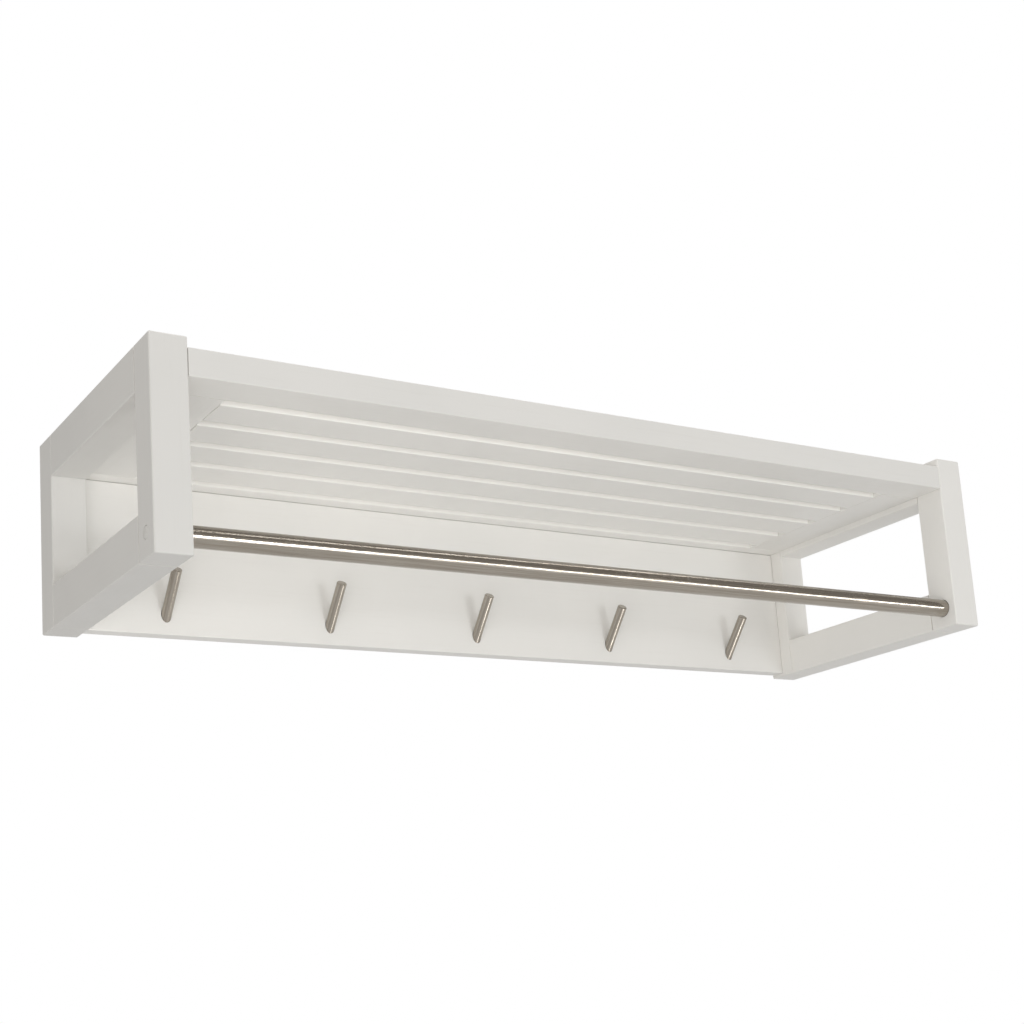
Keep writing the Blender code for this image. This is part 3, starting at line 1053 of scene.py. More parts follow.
@dataclass
class SideFrame:
    """Front post, rear post and the two rails between them on one side."""

    side: Side
    lacquer: WhiteLacquer
    ease: float = 0.0016
    overcut: float = 0.01
    socket_depth: float = 0.010
    socket_steps: int = 72
    screw_bore_radius: float = 0.0023
    screw_bore: Span = (-0.012, 0.05)
    screw_bore_steps: int = 28
    counterbore_depth: float = 0.009
    counterbore_steps: int = 56
    pocket_depth: float = 0.002
    pocket_corner: float = 0.0043
    pocket_corner_steps: int = 6
    room_depth: float = 0.010
    room_margin: float = 0.001
    room_overcut: float = 0.012

    def tube_end_holes(self) -> list[Shell]:
        """Socket for the tube, bore for its screw and counterbore for the cover cap.

        Returns:
            The surfaces of the three holes.
        """
        word, sign = self.side.word, self.side.value
        low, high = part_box("tube_rail")
        radius = (high.z - low.z) / 2
        post_low, post_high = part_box(f"{word}_front_post")
        inner, outer = (post_low.x, post_high.x) if sign > 0 else (post_high.x, post_low.x)
        axis_y, axis_z = (low.y + high.y) / 2, (low.z + high.z) / 2
        out = np.array([float(sign), 0.0, 0.0])
        cap_low, cap_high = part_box(f"{word}_cover_cap")
        cap_radius = (cap_high.z - cap_low.z) / 2
        inside = Spindle(np.array([inner, axis_y, axis_z]), out)
        outside = Spindle(np.array([outer, axis_y, axis_z]), out)
        return [
            inside.turn(rod(radius + CLEARANCE, -self.overcut, self.socket_depth), self.socket_steps),
            inside.turn(rod(self.screw_bore_radius, *self.screw_bore), self.screw_bore_steps),
            outside.turn(
                rod(cap_radius + CLEARANCE, -self.counterbore_depth, self.overcut), self.counterbore_steps
            ),
        ]

    def hanger_holes(self) -> list[Shell]:
        """Pocket for the hanger plate, room for the wall screw's head and the plate's screw holes.

        Returns:
            The surfaces of the pocket, the room and the two holes.
        """
        word = self.side.word
        plate_low, plate_high = node_ends(f"{word}_hanger_plate")
        middle, half = (plate_low + plate_high) / 2, (plate_high - plate_low) / 2 + CLEARANCE
        pocket = rounded_outline(
            np.full(2, half[0]), np.full(2, half[2]), np.full(2, self.pocket_corner), self.pocket_corner_steps
        )
        rings = np.empty(pocket.shape[:2] + (3,))
        rings[..., 0], rings[..., 2] = middle[0] + pocket[..., 0], middle[2] + pocket[..., 1]
        rings[..., 1] = np.array([self.overcut, -self.pocket_depth - CLEARANCE])[:, None]
        half_width = KEYHOLE_RADIUS + self.room_margin
        half_height = KEYHOLE_RISE / 2 + half_width
        room = box_shell(
            np.array([middle[0] - half_width, -self.room_depth, middle[2] - half_height]),
            np.array([middle[0] + half_width, self.room_overcut, middle[2] + half_height]),
        )
        screws = (f"{word}_{level}_hanger_screw" for level in LEVELS)
        return [lofted(rings), room] + [countersunk_hole(screw, PLATE_SCREW) for screw in screws]

    def build(self) -> list[Piece]:
        """Builds the two posts and the two rails.

        Returns:
            The four finished pieces.
        """
        word = self.side.word
        dowels = {
            "front_post": ("top_rail_front", "bottom_rail_front", "front_board"),
            "rear_post": ("top_rail_rear", "bottom_rail_rear", "rear_board", "lower_panel", "upper_panel"),
            "top_rail": ("top_rail_front", "top_rail_rear", "crosspiece"),
            "bottom_rail": ("bottom_rail_front", "bottom_rail_rear"),
        }
        more_holes = {"front_post": self.tube_end_holes(), "rear_post": self.hanger_holes()}
        pieces = []
        for name, joined in dowels.items():
            holes = [dowel_hole(f"{word}_{dowel}_dowel") for dowel in joined] + more_holes.get(name, [])
            member = WoodenMember(f"{word}_{name}", Axis.Y, self.ease, holes=holes)
            if name in more_holes:
                member.run, member.end_ease = Axis.Z, self.ease
            pieces.append(member.build(self.lacquer))
        return pieces


@dataclass
class SlattedShelf:
    """Front and rear boards, two crosspieces between them and four slats between those."""

    lacquer: WhiteLacquer
    ease: float = 0.0011
    slats: int = 4

    def build(self) -> list[Piece]:
        """Builds the boards, the crosspieces and the slats.

        Returns:
            The eight finished pieces.
        """
        cross_ends = {side: mortise(f"shelf_{side.word}_crosspiece", Axis.Y) for side in Side}
        slat_ends = [mortise(f"shelf_slat_{number}", Axis.X) for number in range(1, self.slats + 1)]
        members = []
        for name, end in (("front", 0), ("rear", 1)):
            holes = [cross_ends[side][end] for side in Side]
            holes += [dowel_hole(f"{side.word}_{name}_board_dowel") for side in Side]
            members.append(WoodenMember(f"shelf_{name}_board", Axis.X, self.ease, holes=holes))
        for side, end in ((Side.LEFT, 0), (Side.RIGHT, 1)):
            holes = [ends[end] for ends in slat_ends] + [dowel_hole(f"{side.word}_crosspiece_dowel")]
            name = f"shelf_{side.word}_crosspiece"
            members.append(WoodenMember(name, Axis.Y, self.ease, end=BarEnd.TENON, holes=holes))
        for number in range(1, self.slats + 1):
            members.append(WoodenMember(f"shelf_slat_{number}", Axis.X, self.ease, end=BarEnd.TENON))
        return [member.build(self.lacquer) for member in members]


# --------------------------------------------------------------------------- metal


@dataclass(frozen=True)
class Screw:
    """One kind of screw: a thread of ridges under a turned head, with a cross recess.

    The point is a list of radius and height over the tip.
    """

    head_depth: float
    radius: float
    thread_depth: float
    thread_start: float
    thread_stop: float
    thread_points: int
    point: tuple[Span, ...]
    recess_arm: float
    recess_depth: float
    steps: int

    def shape(self, name: str, spindle: Spindle, head: list[Span] | np.ndarray, length: float) -> Piece:
        """Turns a screw of this kind and cuts its recess.

        Args:
            name: Name of the piece.
            spindle: Axis of the screw, with its origin on top of the head.
            head: Outline of the head, as radius and height.
            length: Length from the top of the head to the tip.

        Returns:
            The shaped piece.
        """
        thread = ridged(
            self.radius, self.thread_depth, -self.thread_start, self.thread_stop - length, self.thread_points
        )
        point = [(radius, height - length) for radius, height in self.point]
        piece = spindle.turn(np.concatenate((head, thread, point)), self.steps).to_piece(name)
        carve(piece, [cross_recess(spindle, self.recess_arm, self.recess_depth)])
        return piece


TUBE_SCREW = Screw(
    head_depth=0.0035,
    radius=0.0019,
    thread_depth=0.00045,
    thread_start=0.006,
    thread_stop=0.004,
    thread_points=45,
    point=((0.0014, 0.003), (0.0, 0.0)),
    recess_arm=0.0021,
    recess_depth=0.0016,
    steps=28,
)
PLATE_SCREW = Screw(
    head_depth=0.0016,
    radius=0.0015,
    thread_depth=0.0004,
    thread_start=0.0022,
    thread_stop=0.0032,
    thread_points=25,
    point=((0.0, 0.0),),
    recess_arm=0.0018,
    recess_depth=0.0012,
    steps=32,
)


def cross_recess(
    spindle: Spindle,
    arm: float,
    depth: float,
    arm_width: float = 0.2,
    foot: float = 0.42,
    overcut: float = 0.001,
) -> Shell:
    """Recess for a cross driver: a plus-shaped outline that narrows as it goes down.

    The outline has twelve corners, each at one arm or half an arm's width along each direction.

    Args:
        spindle: Axis of the screw, with its origin on top of the head.
        arm: Length of an arm at the top.
        depth: Depth of the recess.
        arm_width: Half the width of an arm, as a share of its length.
        foot: Size of the outline at the bottom, as a share of that at the top.
        overcut: Height by which the surface stands above the head.

    Returns:
        The closed surface.
    """
    near, far = arm_width, 1.0
    order = np.array([(far, near), (near, near), (near, far), (-near, far), (-near, near), (-far, near)])
    outline = np.concatenate((order, -order)) * arm
    rings = np.empty((3, len(outline), 3))
    rings[..., :2] = outline * np.array([1.0, 1.0, foot])[:, None, None]
    rings[..., 2] = np.array([overcut, 0.0, -depth])[:, None]
    return lofted(spindle.place(rings.reshape(-1, 3)).reshape(rings.shape))


def countersunk_hole(
    node: str, kind: Screw, overcut: float = 0.002, point_length: float = 0.003, steps: int = 36
) -> Shell:
    """Countersunk hole for a packed screw that points away from the wall, one clearance larger all round.

    Args:
        node: The screw.
        kind: Kind of the screw.
        overcut: Height by which the surface stands above the head.
        point_length: Length of the screw's point.
        steps: Faces round the hole.

    Returns:
        The closed surface of the hole.
    """
    low, high = node_ends(node)
    width, length, _ = high - low
    head, core = width / 2 + CLEARANCE, kind.radius + CLEARANCE
    profile = np.array(
        [
            (0.0, overcut),
            (head, overcut),
            (head, 0.0),
            (core, -kind.head_depth),
            (core, -length + point_length - CLEARANCE),
            (0.0, -length - CLEARANCE),
        ]
    )
    return face_spindle(node, Axis.Y.unit).turn(profile, steps)


@dataclass
class HookPin:
    """A round steel pin, slanted up and out of the panel, with a stud on its inner end."""

    number: int
    steel: BrushedSteel
    radius: float = 0.0055
    length: float = 0.052
    chamfer: float = 0.0007
    chamfer_ease: float = 0.00018
    face_margin: float = 0.0002
    face_drop: float = 0.00002
    face_points: int = 13
    ring_pitch: float = 0.0007
    ring_half_depth: float = 0.00003
    seat: float = 0.0075
    seat_ease: float = 0.0004
    stud_radius: float = 0.003
    stud_length: float = 0.009
    stud_tip: float = 0.0006
    thread_depth: float = 0.0003
    thread_start: float = 0.001
    thread_points: int = 17
    sleeve_radius: float = 0.0045
    rise: float = math.radians(50.0)
    root_height: float = 0.022
    steps: int = 64
    sharp_degrees: float = 32.0

    def spindle(self) -> Spindle:
        """Axis of the pin, from the face of the panel outwards.

        Returns:
            The axis.
        """
        low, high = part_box(f"hook_{self.number}")
        panel_low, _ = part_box("back_panel")
        origin = np.array([(low.x + high.x) / 2, panel_low.y, panel_low.z + self.root_height])
        return Spindle(origin, np.array([0.0, -math.cos(self.rise), math.sin(self.rise)]))

    def bore(self) -> Shell:
        """Bore in the panel: the pin's seat, then the narrower sleeve's.

        Returns:
            The closed surface of the bore.
        """
        wide, narrow = self.radius + CLEARANCE, self.sleeve_radius + CLEARANCE
        step = -self.seat - CLEARANCE
        foot = -(self.seat + self.stud_length) - CLEARANCE
        seat = [(0.0, self.length), (wide, self.length), (wide, step)]
        sleeve = [(narrow, step), (narrow, foot), (0.0, foot)]
        return self.spindle().turn(np.array(seat + sleeve), self.steps)

    def tip(self) -> np.ndarray:
        """Outline of the faced tip, with the rings that the tool left on it.

        A point at radius r lies ring_half_depth * (1 - cos(2 pi r / ring_pitch)) below the crests.

        Returns:
            Radius and height of each point.
        """
        radius = np.linspace(0.0, self.radius - self.chamfer - self.face_margin, self.face_points)
        rings = self.ring_half_depth * (np.cos(radius / self.ring_pitch * 2 * math.pi) - 1.0)
        return np.stack((radius, self.length - self.face_drop + rings), axis=1)

    def body(self) -> np.ndarray:
        """Outline from the chamfer, which is softened, to the relieved shoulder at the stud.

        Returns:
            Radius and height of each point.
        """
        edge = self.radius - self.chamfer
        corners = [
            (edge - self.face_margin, self.length),
            (edge, self.length),
            (self.radius, self.length - self.chamfer),
            (self.radius, -self.seat + self.seat_ease),
            (self.radius - self.seat_ease, -self.seat),
        ]
        return softened(corners, self.chamfer_ease, {1, 2})

    def stud(self) -> np.ndarray:
        """Outline of the threaded stud.

        Returns:
            Radius and height of each point.
        """
        end = -self.seat - self.stud_length
        neck = [(self.stud_radius - self.thread_depth, -self.seat)]
        start, stop = -self.seat - self.thread_start, end + self.stud_tip
        thread = ridged(self.stud_radius, self.thread_depth, start, stop, self.thread_points)
        return np.concatenate((neck, thread, [(self.stud_radius - self.stud_tip, end), (0.0, end)]))

    def build(self) -> Piece:
        """Turns the pin from tip to stud.

        Returns:
            The finished piece.
        """
        node, spindle = f"hook_{self.number}", self.spindle()
        profile = np.concatenate((self.tip(), self.body(), self.stud()))
        piece = spindle.turn(profile, self.steps).to_piece(f"hook_pin_{self.number}")
        tilt = math.pi / 2 - self.rise
        finish = self.steel.drawn(f"{node}_brushed_steel", spindle.origin, tilt, Axis.Z)
        return complete(piece, finish, node, self.sharp_degrees)


@dataclass
class HookPanel:
    """The panel between the rear posts and the five pins that stand in it."""

    lacquer: WhiteLacquer
    steel: BrushedSteel
    ease: float = 0.0011
    pins: int = 5

    def build(self) -> list[Piece]:
        """Builds the panel with its bores, then the pins.

        Returns:
            The finished pieces, the panel first.
        """
        pins = [HookPin(number, self.steel) for number in range(1, self.pins + 1)]
        holes = [pin.bore() for pin in pins]
        holes += [dowel_hole(f"{side.word}_{level}_panel_dowel") for side in Side for level in LEVELS]
        panel = WoodenMember("back_panel", Axis.X, self.ease, holes=holes)
        return [panel.build(self.lacquer)] + [pin.build() for pin in pins]


@dataclass
class TubeRail:
    """The steel tube between the front posts with its screws and cover caps."""

    steel: BrushedSteel
    zinc: ZincPlate
    plastic: MouldedPlastic
    wall: float = 0.0012
    mouth_ease: float = 0.0003
    steps: int = 96
    sharp_degrees: float = 32.0
    dome: float = 0.0008
    cap_edge: float = 0.0004
    cap_wall: float = 0.001
    cap_hollow: float = 0.0012
    cap_points: int = 12
    cap_steps: int = 56
    cap_sharp_degrees: float = 40.0
    head_ease: float = 0.0009
    screw_sharp_degrees: float = 34.0

    def build_tube(self) -> Piece:
        """Turns the tube as a closed ring: outer wall, inner wall and softened mouths.

        Returns:
            The finished piece.
        """
        low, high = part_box("tube_rail")
        radius, half = (high.z - low.z) / 2, (high.x - low.x) / 2
        inner, ease = radius - self.wall, self.mouth_ease
        near = [(radius, -half + ease), (radius - ease, -half), (inner + ease, -half), (inner, -half + ease)]
        far = [(across, -along) for across, along in reversed(near)]
        profile = np.array(far[-1:] + near + far[:-1])
        spindle = Spindle(np.array((low + high) / 2), Axis.X.unit)
        piece = spindle.turn(profile, self.steps, ring=True).to_piece("tube_rail_steel")
        finish = self.steel.drawn("tube_brushed_steel", spindle.origin, 0.0, Axis.X)
        return complete(piece, finish, "tube_rail", self.sharp_degrees)

    def build_cap(self, side: Side) -> Piece:
        """Turns a cover cap whose face bulges by dome * (1 - (r / radius) squared).

        Args:
            side: Side of the rack.

        Returns:
            The finished piece.
        """
        node = f"{side.word}_cover_cap"
        low, high = node_ends(node)
        radius, thick = (high - low)[2] / 2, (high - low)[0]
        across = np.linspace(0.0, radius - self.cap_edge, self.cap_points)
        face = np.stack((across, thick - self.dome * (across / radius) ** 2), axis=1)
        inner, hollow = radius - self.cap_wall, self.cap_hollow
        rim = [(radius, thick - self.dome - self.cap_edge), (radius, 0.0), (inner, 0.0), (inner, hollow)]
        profile = np.concatenate((face, rim, [(0.0, hollow)]))
        spindle = face_spindle(node, side.value * Axis.X.unit, -1)
        piece = spindle.turn(profile, self.cap_steps).to_piece(f"{side.word}_cap_moulded")
        finish = self.plastic.make(f"{side.word}_cap_plastic")
        return complete(piece, finish, node, self.cap_sharp_degrees)

    def build_screw(self, side: Side) -> Piece:
        """Turns the screw behind a cover cap.

        Args:
            side: Side of the rack.

        Returns:
            The finished piece.
        """
        node = f"{side.word}_tube_screw"
        low, high = node_ends(node)
        radius, under = (high - low)[2] / 2, -TUBE_SCREW.head_depth
        corners = [(0.0, 0.0), (radius, 0.0), (radius, under), (TUBE_SCREW.radius, under)]
        head = softened(corners, self.head_ease, {1})
        spindle = face_spindle(node, side.value * Axis.X.unit)
        piece = TUBE_SCREW.shape(f"{side.word}_tube_screw_turned", spindle, head, (high - low)[0])
        finish = self.zinc.make(f"{side.word}_tube_screw_zinc")
        return complete(piece, finish, node, self.screw_sharp_degrees)

    def build(self) -> list[Piece]:
        """Builds the tube, both caps and both screws.

        Returns:
            The five finished pieces.
        """
        pieces = [self.build_tube()]
        for side in Side:
            pieces += [self.build_cap(side), self.build_screw(side)]
        return pieces


@dataclass
class WallHanger:
    """The keyhole plate in the back of a rear post, with its two countersunk screws."""

    side: Side
    zinc: ZincPlate
    corner: float = 0.004
    corner_steps: int = 6
    ease: float = 0.0003
    neck_radius: float = 0.0025
    entry_points: int = 44
    neck_points: int = 20
    overcut: float = 0.01
    head_chamfer: float = 0.0002
    head_rim: float = 0.00015
    sharp_degrees: float = 34.0

    def keyhole(self) -> Shell:
        """Keyhole through the plate: a round entry below and a narrow slot with a round end above.

        The outline follows the entry circle from where the slot's side meets it, round the bottom
        to the other side, and then the half circle at the slot's end.

        Returns:
            The closed surface, which stands out of both faces of the plate.
        """
        low, high = node_ends(f"{self.side.word}_hanger_plate")
        x, middle = (low[0] + high[0]) / 2, (low[2] + high[2]) / 2
        meet = math.acos(self.neck_radius / KEYHOLE_RADIUS)
        below, above = middle - KEYHOLE_RISE / 2, middle + KEYHOLE_RISE / 2
        arcs = (
            (np.linspace(meet, -math.pi - meet, self.entry_points), KEYHOLE_RADIUS, below),
            (np.linspace(math.pi, 0.0, self.neck_points), self.neck_radius, above),
        )
        outline = np.concatenate(
            [np.stack((np.cos(turn), np.sin(turn)), axis=1) * radius + (x, z) for turn, radius, z in arcs]
        )
        rings = np.empty((2, len(outline), 3))
        rings[..., 0], rings[..., 2] = outline[:, 0], outline[:, 1]
        rings[..., 1] = np.array([-self.overcut, self.overcut])[:, None]
        return lofted(rings)

    def build_plate(self) -> Piece:
        """Presses the plate: rounded corners, softened faces, keyhole and two countersinks.

        Returns:
            The finished piece.
        """
        word = self.side.word
        node = f"{word}_hanger_plate"
        low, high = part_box(node)
        plate = Bar(low, high, Axis.Y, self.corner, self.ease, steps=self.corner_steps)
        piece = plate.shell().to_piece(f"{word}_keyhole_plate")
        screws = (f"{word}_{level}_hanger_screw" for level in LEVELS)
        carve(piece, [self.keyhole()] + [countersunk_hole(screw, PLATE_SCREW) for screw in screws])
        finish = self.zinc.make(f"{word}_plate_zinc")
        return complete(piece, finish, node, self.sharp_degrees)

    def build_screw(self, level: str) -> Piece:
        """Turns one of the plate's screws.

        Args:
            level: Which of the two screws.

        Returns:
            The finished piece.
        """
        word = self.side.word
        node = f"{word}_{level}_hanger_screw"
        low, high = node_ends(node)
        radius = (high - low)[0] / 2
        head = [
            (0.0, 0.0),
            (radius - self.head_chamfer, 0.0),
            (radius, -self.head_rim),
            (PLATE_SCREW.radius, -PLATE_SCREW.head_depth),
        ]
        spindle = face_spindle(node, Axis.Y.unit)
        piece = PLATE_SCREW.shape(f"{word}_{level}_plate_screw", spindle, head, (high - low)[1])
        finish = self.zinc.make(f"{word}_{level}_screw_zinc")
        return complete(piece, finish, node, self.sharp_degrees)

    def build(self) -> list[Piece]:
        """Builds the plate and its two screws."""
        return [self.build_plate()] + [self.build_screw(level) for level in LEVELS]


@dataclass
class HiddenJoinery:
    """Fittings inside the joints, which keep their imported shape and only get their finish."""

    beech: BareBeech
    brass: TurnedBrass
    plastic: MouldedPlastic

    def dress(self) -> None:
        """Finishes every dowel, hook sleeve and tube plug."""
        for name, node in frame["nodes"].items():
            if name.endswith("_dowel"):
                low, high = node_ends(name)
                coat(node, self.beech.along(list(Axis)[int(np.argmax(high - low))]))
            elif name.endswith("_sleeve"):
                coat(node, self.brass.make(f"{name}_brass"))
            elif name.endswith("_plug"):
                coat(node, self.plastic.make(f"{name}_plastic"))
        log.info("hidden joinery dressed")


# --------------------------------------------------------------------------- studio


RACK_MIDDLE = (0.0, -0.16, -0.05)
RACK_PIECES = ("left_", "right_", "shelf_", "back_panel", "tube_rail", "hook_")
INNER_PIECES = ("back_panel", "shelf_slat", "shelf_right", "shelf_rear", "right_")
NEAR_SHELF_PIECES = ("shelf_front", "shelf_left")
SLOT_PIECES = ("shelf_slat", "shelf_rear")
TUBE_PIECE = ("tube_rail",)
PIN_PIECES = ("hook_pin",)


class Shows(Enum):
    """What a lamp shows on: matt light, reflections or both."""

    MATT = "matt"
    GLOSS = "gloss"
    BOTH = "both"


@dataclass(frozen=True)
class SoftBox:
    """A rectangular studio lamp aimed at a point, for all pieces or only those with given names."""

    name: str
    place: Point
    width: float
    height: float
    power: float
    aim: Point = RACK_MIDDLE
    shows: Shows = Shows.MATT
    only: tuple[str, ...] = ()
    colour: Point = (1.0, 0.985, 0.96)

    def build(self) -> Piece:
        """Hangs the lamp, aims it and, if asked, keeps its light on pieces by the start of their names.

        Returns:
            The lamp's object.
        """
        lamp = bpy.data.lights.new(self.name, "AREA")
        lamp.shape = "RECTANGLE"
        lamp.size, lamp.size_y = self.width, self.height
        lamp.energy = self.power
        lamp.color = self.colour
        hung = bpy.data.objects.new(self.name, lamp)
        turn = (Vector(self.aim) - Vector(self.place)).to_track_quat("-Z", "Y")
        hung.matrix_world = Matrix.Translation(self.place) @ turn.to_matrix().to_4x4()
        hung.visible_diffuse = self.shows is not Shows.GLOSS
        hung.visible_glossy = self.shows is not Shows.MATT
        hung.visible_camera = False
        bpy.context.scene.collection.objects.link(hung)
        if self.only:
            lit = bpy.data.collections.new(f"{self.name}_lights")
            for piece in bpy.context.scene.objects:
                if piece.name.startswith(self.only):
                    lit.objects.link(piece)
            hung.light_linking.receiver_collection = lit
        return hung


LAMPS = (
    SoftBox(
        "key_box",
        (1.0, -4.2, -0.85),
        1.2,
        0.9,
        35.0,
        shows=Shows.BOTH,
        only=RACK_PIECES,
        colour=(0.975, 0.99, 1.0),
    ),
    SoftBox("near_fill", (-1.5, -2.2, -1.1), 1.4, 1.0, 8.0, only=RACK_PIECES),
    SoftBox("left_fill", (-2.6, -0.8, 0.1), 1.6, 1.2, 6.8),
    SoftBox("floor_bounce", (0.3, -1.0, -1.35), 2.0, 0.7, 1.1, only=RACK_PIECES),
    SoftBox("top_box", (0.2, -0.7, 2.5), 2.4, 1.4, 32.0, (0.0, -0.16, 0.0)),
    SoftBox("right_fill", (2.6, -0.9, 0.2), 1.6, 1.2, 6.0),
    SoftBox("back_box", (0.6, 3.4, 0.9), 1.8, 1.2, 22.0, (0.0, 0.0, -0.05)),
    SoftBox("inside_fill", (-1.28, -1.1, -0.95), 1.6, 1.3, 9.0, (0.1, -0.1, -0.05), only=INNER_PIECES),
    SoftBox("shelf_fill", (-0.6, -0.25, -1.3), 1.2, 0.7, 3.4, (0.0, -0.25, 0.0), only=NEAR_SHELF_PIECES),
    SoftBox("slot_fill", (-0.9, -2.6, -0.95), 1.6, 0.5, 6.5, (0.0, -0.16, 0.0), only=SLOT_PIECES),
    SoftBox("tube_strip", (2.3, -3.3, -0.52), 4.2, 0.2, 40.0, (0.3, -0.3, -0.12), Shows.GLOSS, TUBE_PIECE),
    SoftBox("rim_strip", (1.6, -1.2, 2.3), 4.5, 0.12, 9.0, (0.2, -0.3, -0.12), Shows.GLOSS, TUBE_PIECE),
    SoftBox("pin_strip", (0.6, -0.8, -1.45), 0.22, 1.2, 5.0, (0.0, -0.05, -0.1), Shows.GLOSS, PIN_PIECES),
)


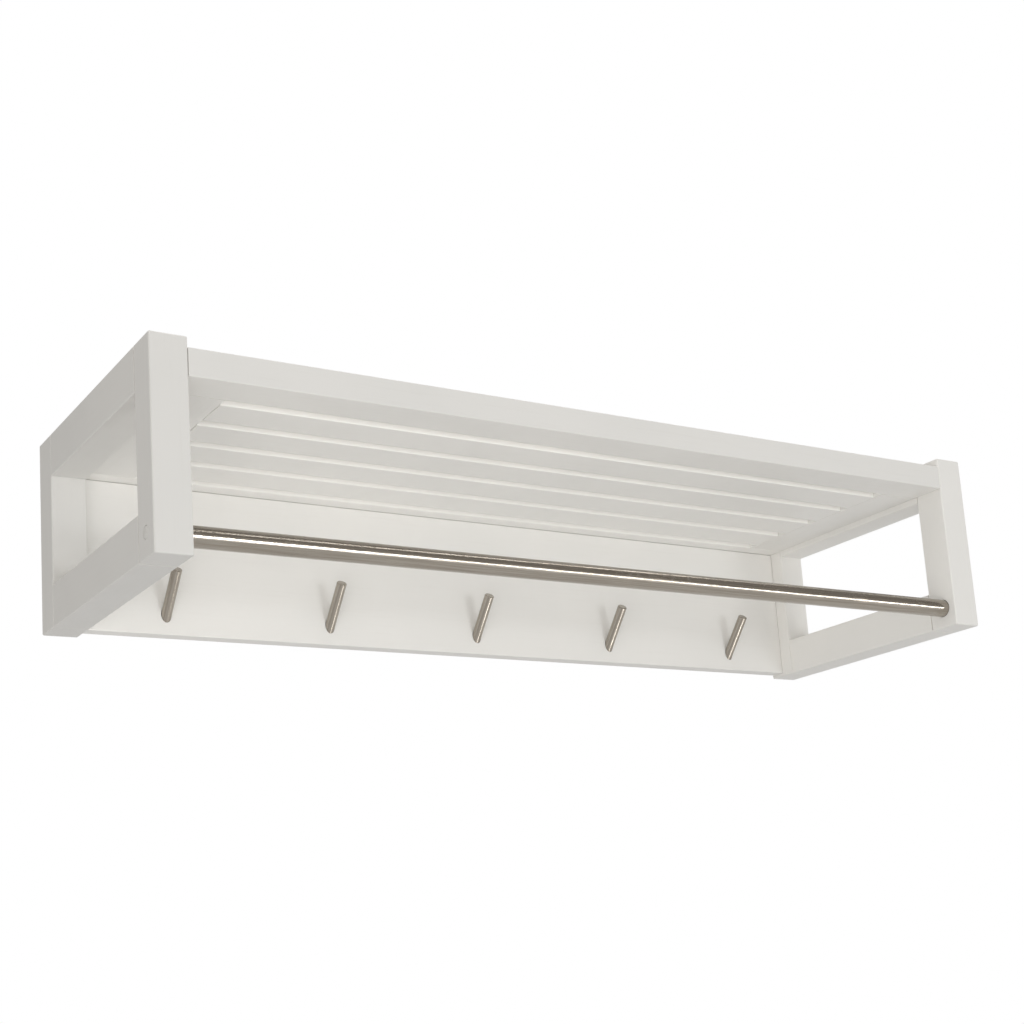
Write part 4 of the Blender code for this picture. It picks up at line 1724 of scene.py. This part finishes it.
@dataclass
class Studio:
    """Pale floor, white surround and soft lamps."""

    floor_height: float = -1.55
    floor_radius: float = 12.0
    floor_rings: int = 24
    floor_spokes: int = 72
    floor_tone: Colour = (0.80, 0.795, 0.785, 1.0)
    floor_cloud: Colour = (0.77, 0.765, 0.755, 1.0)
    floor_grain: float = 0.0002
    floor_specular: float = 0.2
    glow_tone: Colour = (1.0, 0.995, 0.985, 1.0)
    glow_reach: Span = (1.2, 6.5)
    glow: Span = (0.18, 0.75)
    glow_dimming: float = 0.3
    surround: Colour = (0.42, 0.414, 0.405, 1.0)
    gloss_surround: Colour = (0.30, 0.285, 0.265, 1.0)
    seen_surround: Colour = (1.0, 1.0, 1.0, 1.0)
    lamps: tuple[SoftBox, ...] = LAMPS

    def shape_floor(self) -> Piece:
        """Lays a round floor: rings of points at radii that grow as the square of their number.

        Returns:
            The floor, facing up.
        """
        radius = np.linspace(0.0, 1.0, self.floor_rings)[:, None] ** 2 * self.floor_radius
        turn = np.linspace(0.0, 2 * math.pi, self.floor_spokes, endpoint=False)
        across, deep = radius * np.cos(turn), radius * np.sin(turn)
        grid = np.stack((across, deep, np.full(across.shape, self.floor_height)), axis=-1)
        quads = grid_quads(self.floor_rings, self.floor_spokes, False)
        floor = Shell(grid.reshape(-1, 3), quads).to_piece("studio_floor")
        if floor.data.polygons[0].normal.z < 0:
            floor.data.flip_normals()
        return floor

    def floor_finish(self) -> Material:
        """Pale matt floor that glows towards white far out, and less so in reflections.

        The glow is spread over glow_reach by distance, times 1 - glow_dimming for glossy rays.

        Returns:
            The material.
        """
        bench = Workbench("pale_floor")
        plain = bench.place()
        clouds = bench.noise(plain, scale=0.8, detail=3.0)
        speckle = bench.noise(plain, scale=220.0, detail=2.0)
        colour = bench.tint(self.floor_tone, clouds, (0.35, 0.7), 1.0, self.floor_cloud)
        roughness = bench.spread(speckle, (0.3, 0.7), (0.6, 0.75))
        distance = bench.node("ShaderNodeVectorMath", operation="LENGTH")
        bench.feed(distance.inputs[0], bench.place(shift=(0.0, 0.0, self.floor_height)))
        glow = bench.spread(distance.outputs["Value"], self.glow_reach, self.glow)
        gloss = bench.node("ShaderNodeLightPath").outputs["Is Glossy Ray"]
        dimmed = bench.maths("MULTIPLY_ADD", gloss, -self.glow_dimming, 1.0)
        bench.feed(bench.shader.inputs["Emission Strength"], bench.maths("MULTIPLY", glow, dimmed))
        bench.feed(bench.shader.inputs["Emission Color"], self.glow_tone)
        relief = bench.relief((speckle, self.floor_grain))
        return bench.finish(colour, roughness, relief, Specular_IOR_Level=self.floor_specular)

    def build_floor(self) -> Piece:
        """Builds the floor, which sheds no light on matt surfaces.

        Returns:
            The floor.
        """
        floor = self.shape_floor()
        coat(floor, self.floor_finish())
        floor.visible_diffuse = False
        return floor

    def build_surround(self) -> None:
        """Sets the world: white to the camera, a soft grey to matt surfaces, darker to glossy ones."""
        world = bpy.data.worlds.new("studio_surround")
        bpy.context.scene.world = world
        world.use_nodes = True
        tree = world.node_tree
        tree.nodes.clear()
        path = tree.nodes.new("ShaderNodeLightPath")
        shades = []
        for colour in (self.surround, self.gloss_surround, self.seen_surround):
            shade = tree.nodes.new("ShaderNodeBackground")
            shade.inputs["Color"].default_value = colour
            shades.append(shade.outputs[0])
        shown = shades[0]
        for ray, shade in (("Is Glossy Ray", shades[1]), ("Is Camera Ray", shades[2])):
            mix = tree.nodes.new("ShaderNodeMixShader")
            for socket, source in zip(mix.inputs, (path.outputs[ray], shown, shade)):
                tree.links.new(source, socket)
            shown = mix.outputs[0]
        output = tree.nodes.new("ShaderNodeOutputWorld")
        tree.links.new(shown, output.inputs["Surface"])

    def build(self) -> None:
        """Builds the floor, the surround and the lamps."""
        self.build_floor()
        self.build_surround()
        for lamp in self.lamps:
            lamp.build()
        settings = bpy.context.scene.view_settings
        settings.view_transform = "Standard"
        settings.look = "None"
        log.info("studio ready with %d lamps", len(self.lamps))


@dataclass(frozen=True)
class Viewpoint:
    """The camera: below the rack and to its left, looking up at it."""

    place: Point = (-0.9823, -1.6030, -0.5429)
    yaw: float = math.radians(-32.45)
    pitch: float = math.radians(10.85)
    roll: float = math.radians(-3.91)
    lens: float = 58.0
    sensor_width: float = 36.0
    shift_across: float = 0.0137
    shift_up: float = 0.169

    def build(self) -> Piece:
        """Places the camera and makes it the scene's.

        The camera looks along its yaw and pitch; its right and up are then turned about that
        direction by its roll.

        Returns:
            The camera's object.
        """
        lens = bpy.data.cameras.new("viewpoint")
        lens.lens = self.lens
        lens.sensor_width = self.sensor_width
        lens.shift_x, lens.shift_y = self.shift_across, self.shift_up
        camera = bpy.data.objects.new("viewpoint", lens)
        forward = Vector(
            (
                -math.sin(self.yaw) * math.cos(self.pitch),
                math.cos(self.yaw) * math.cos(self.pitch),
                math.sin(self.pitch),
            )
        )
        right = Vector((math.cos(self.yaw), math.sin(self.yaw), 0.0))
        up = right.cross(forward)
        turned_right = right * math.cos(self.roll) + up * math.sin(self.roll)
        turned_up = up * math.cos(self.roll) - right * math.sin(self.roll)
        turn = Matrix((turned_right, turned_up, -forward)).transposed()
        camera.matrix_world = Matrix.Translation(self.place) @ turn.to_4x4()
        bpy.context.scene.collection.objects.link(camera)
        bpy.context.scene.camera = camera
        return camera


def main() -> None:
    """Builds the rack part by part, then the studio and the camera."""
    logging.basicConfig(level=logging.INFO, format="%(name)s: %(message)s")
    lacquer, steel, zinc, plastic = WhiteLacquer(), BrushedSteel(), ZincPlate(), MouldedPlastic()
    for side in Side:
        SideFrame(side, lacquer).build()
        WallHanger(side, zinc).build()
    SlattedShelf(lacquer).build()
    HookPanel(lacquer, steel).build()
    TubeRail(steel, zinc, plastic).build()
    HiddenJoinery(BareBeech(), TurnedBrass(), plastic).dress()
    Studio().build()
    Viewpoint().build()


if __name__ == "__main__":
    main()
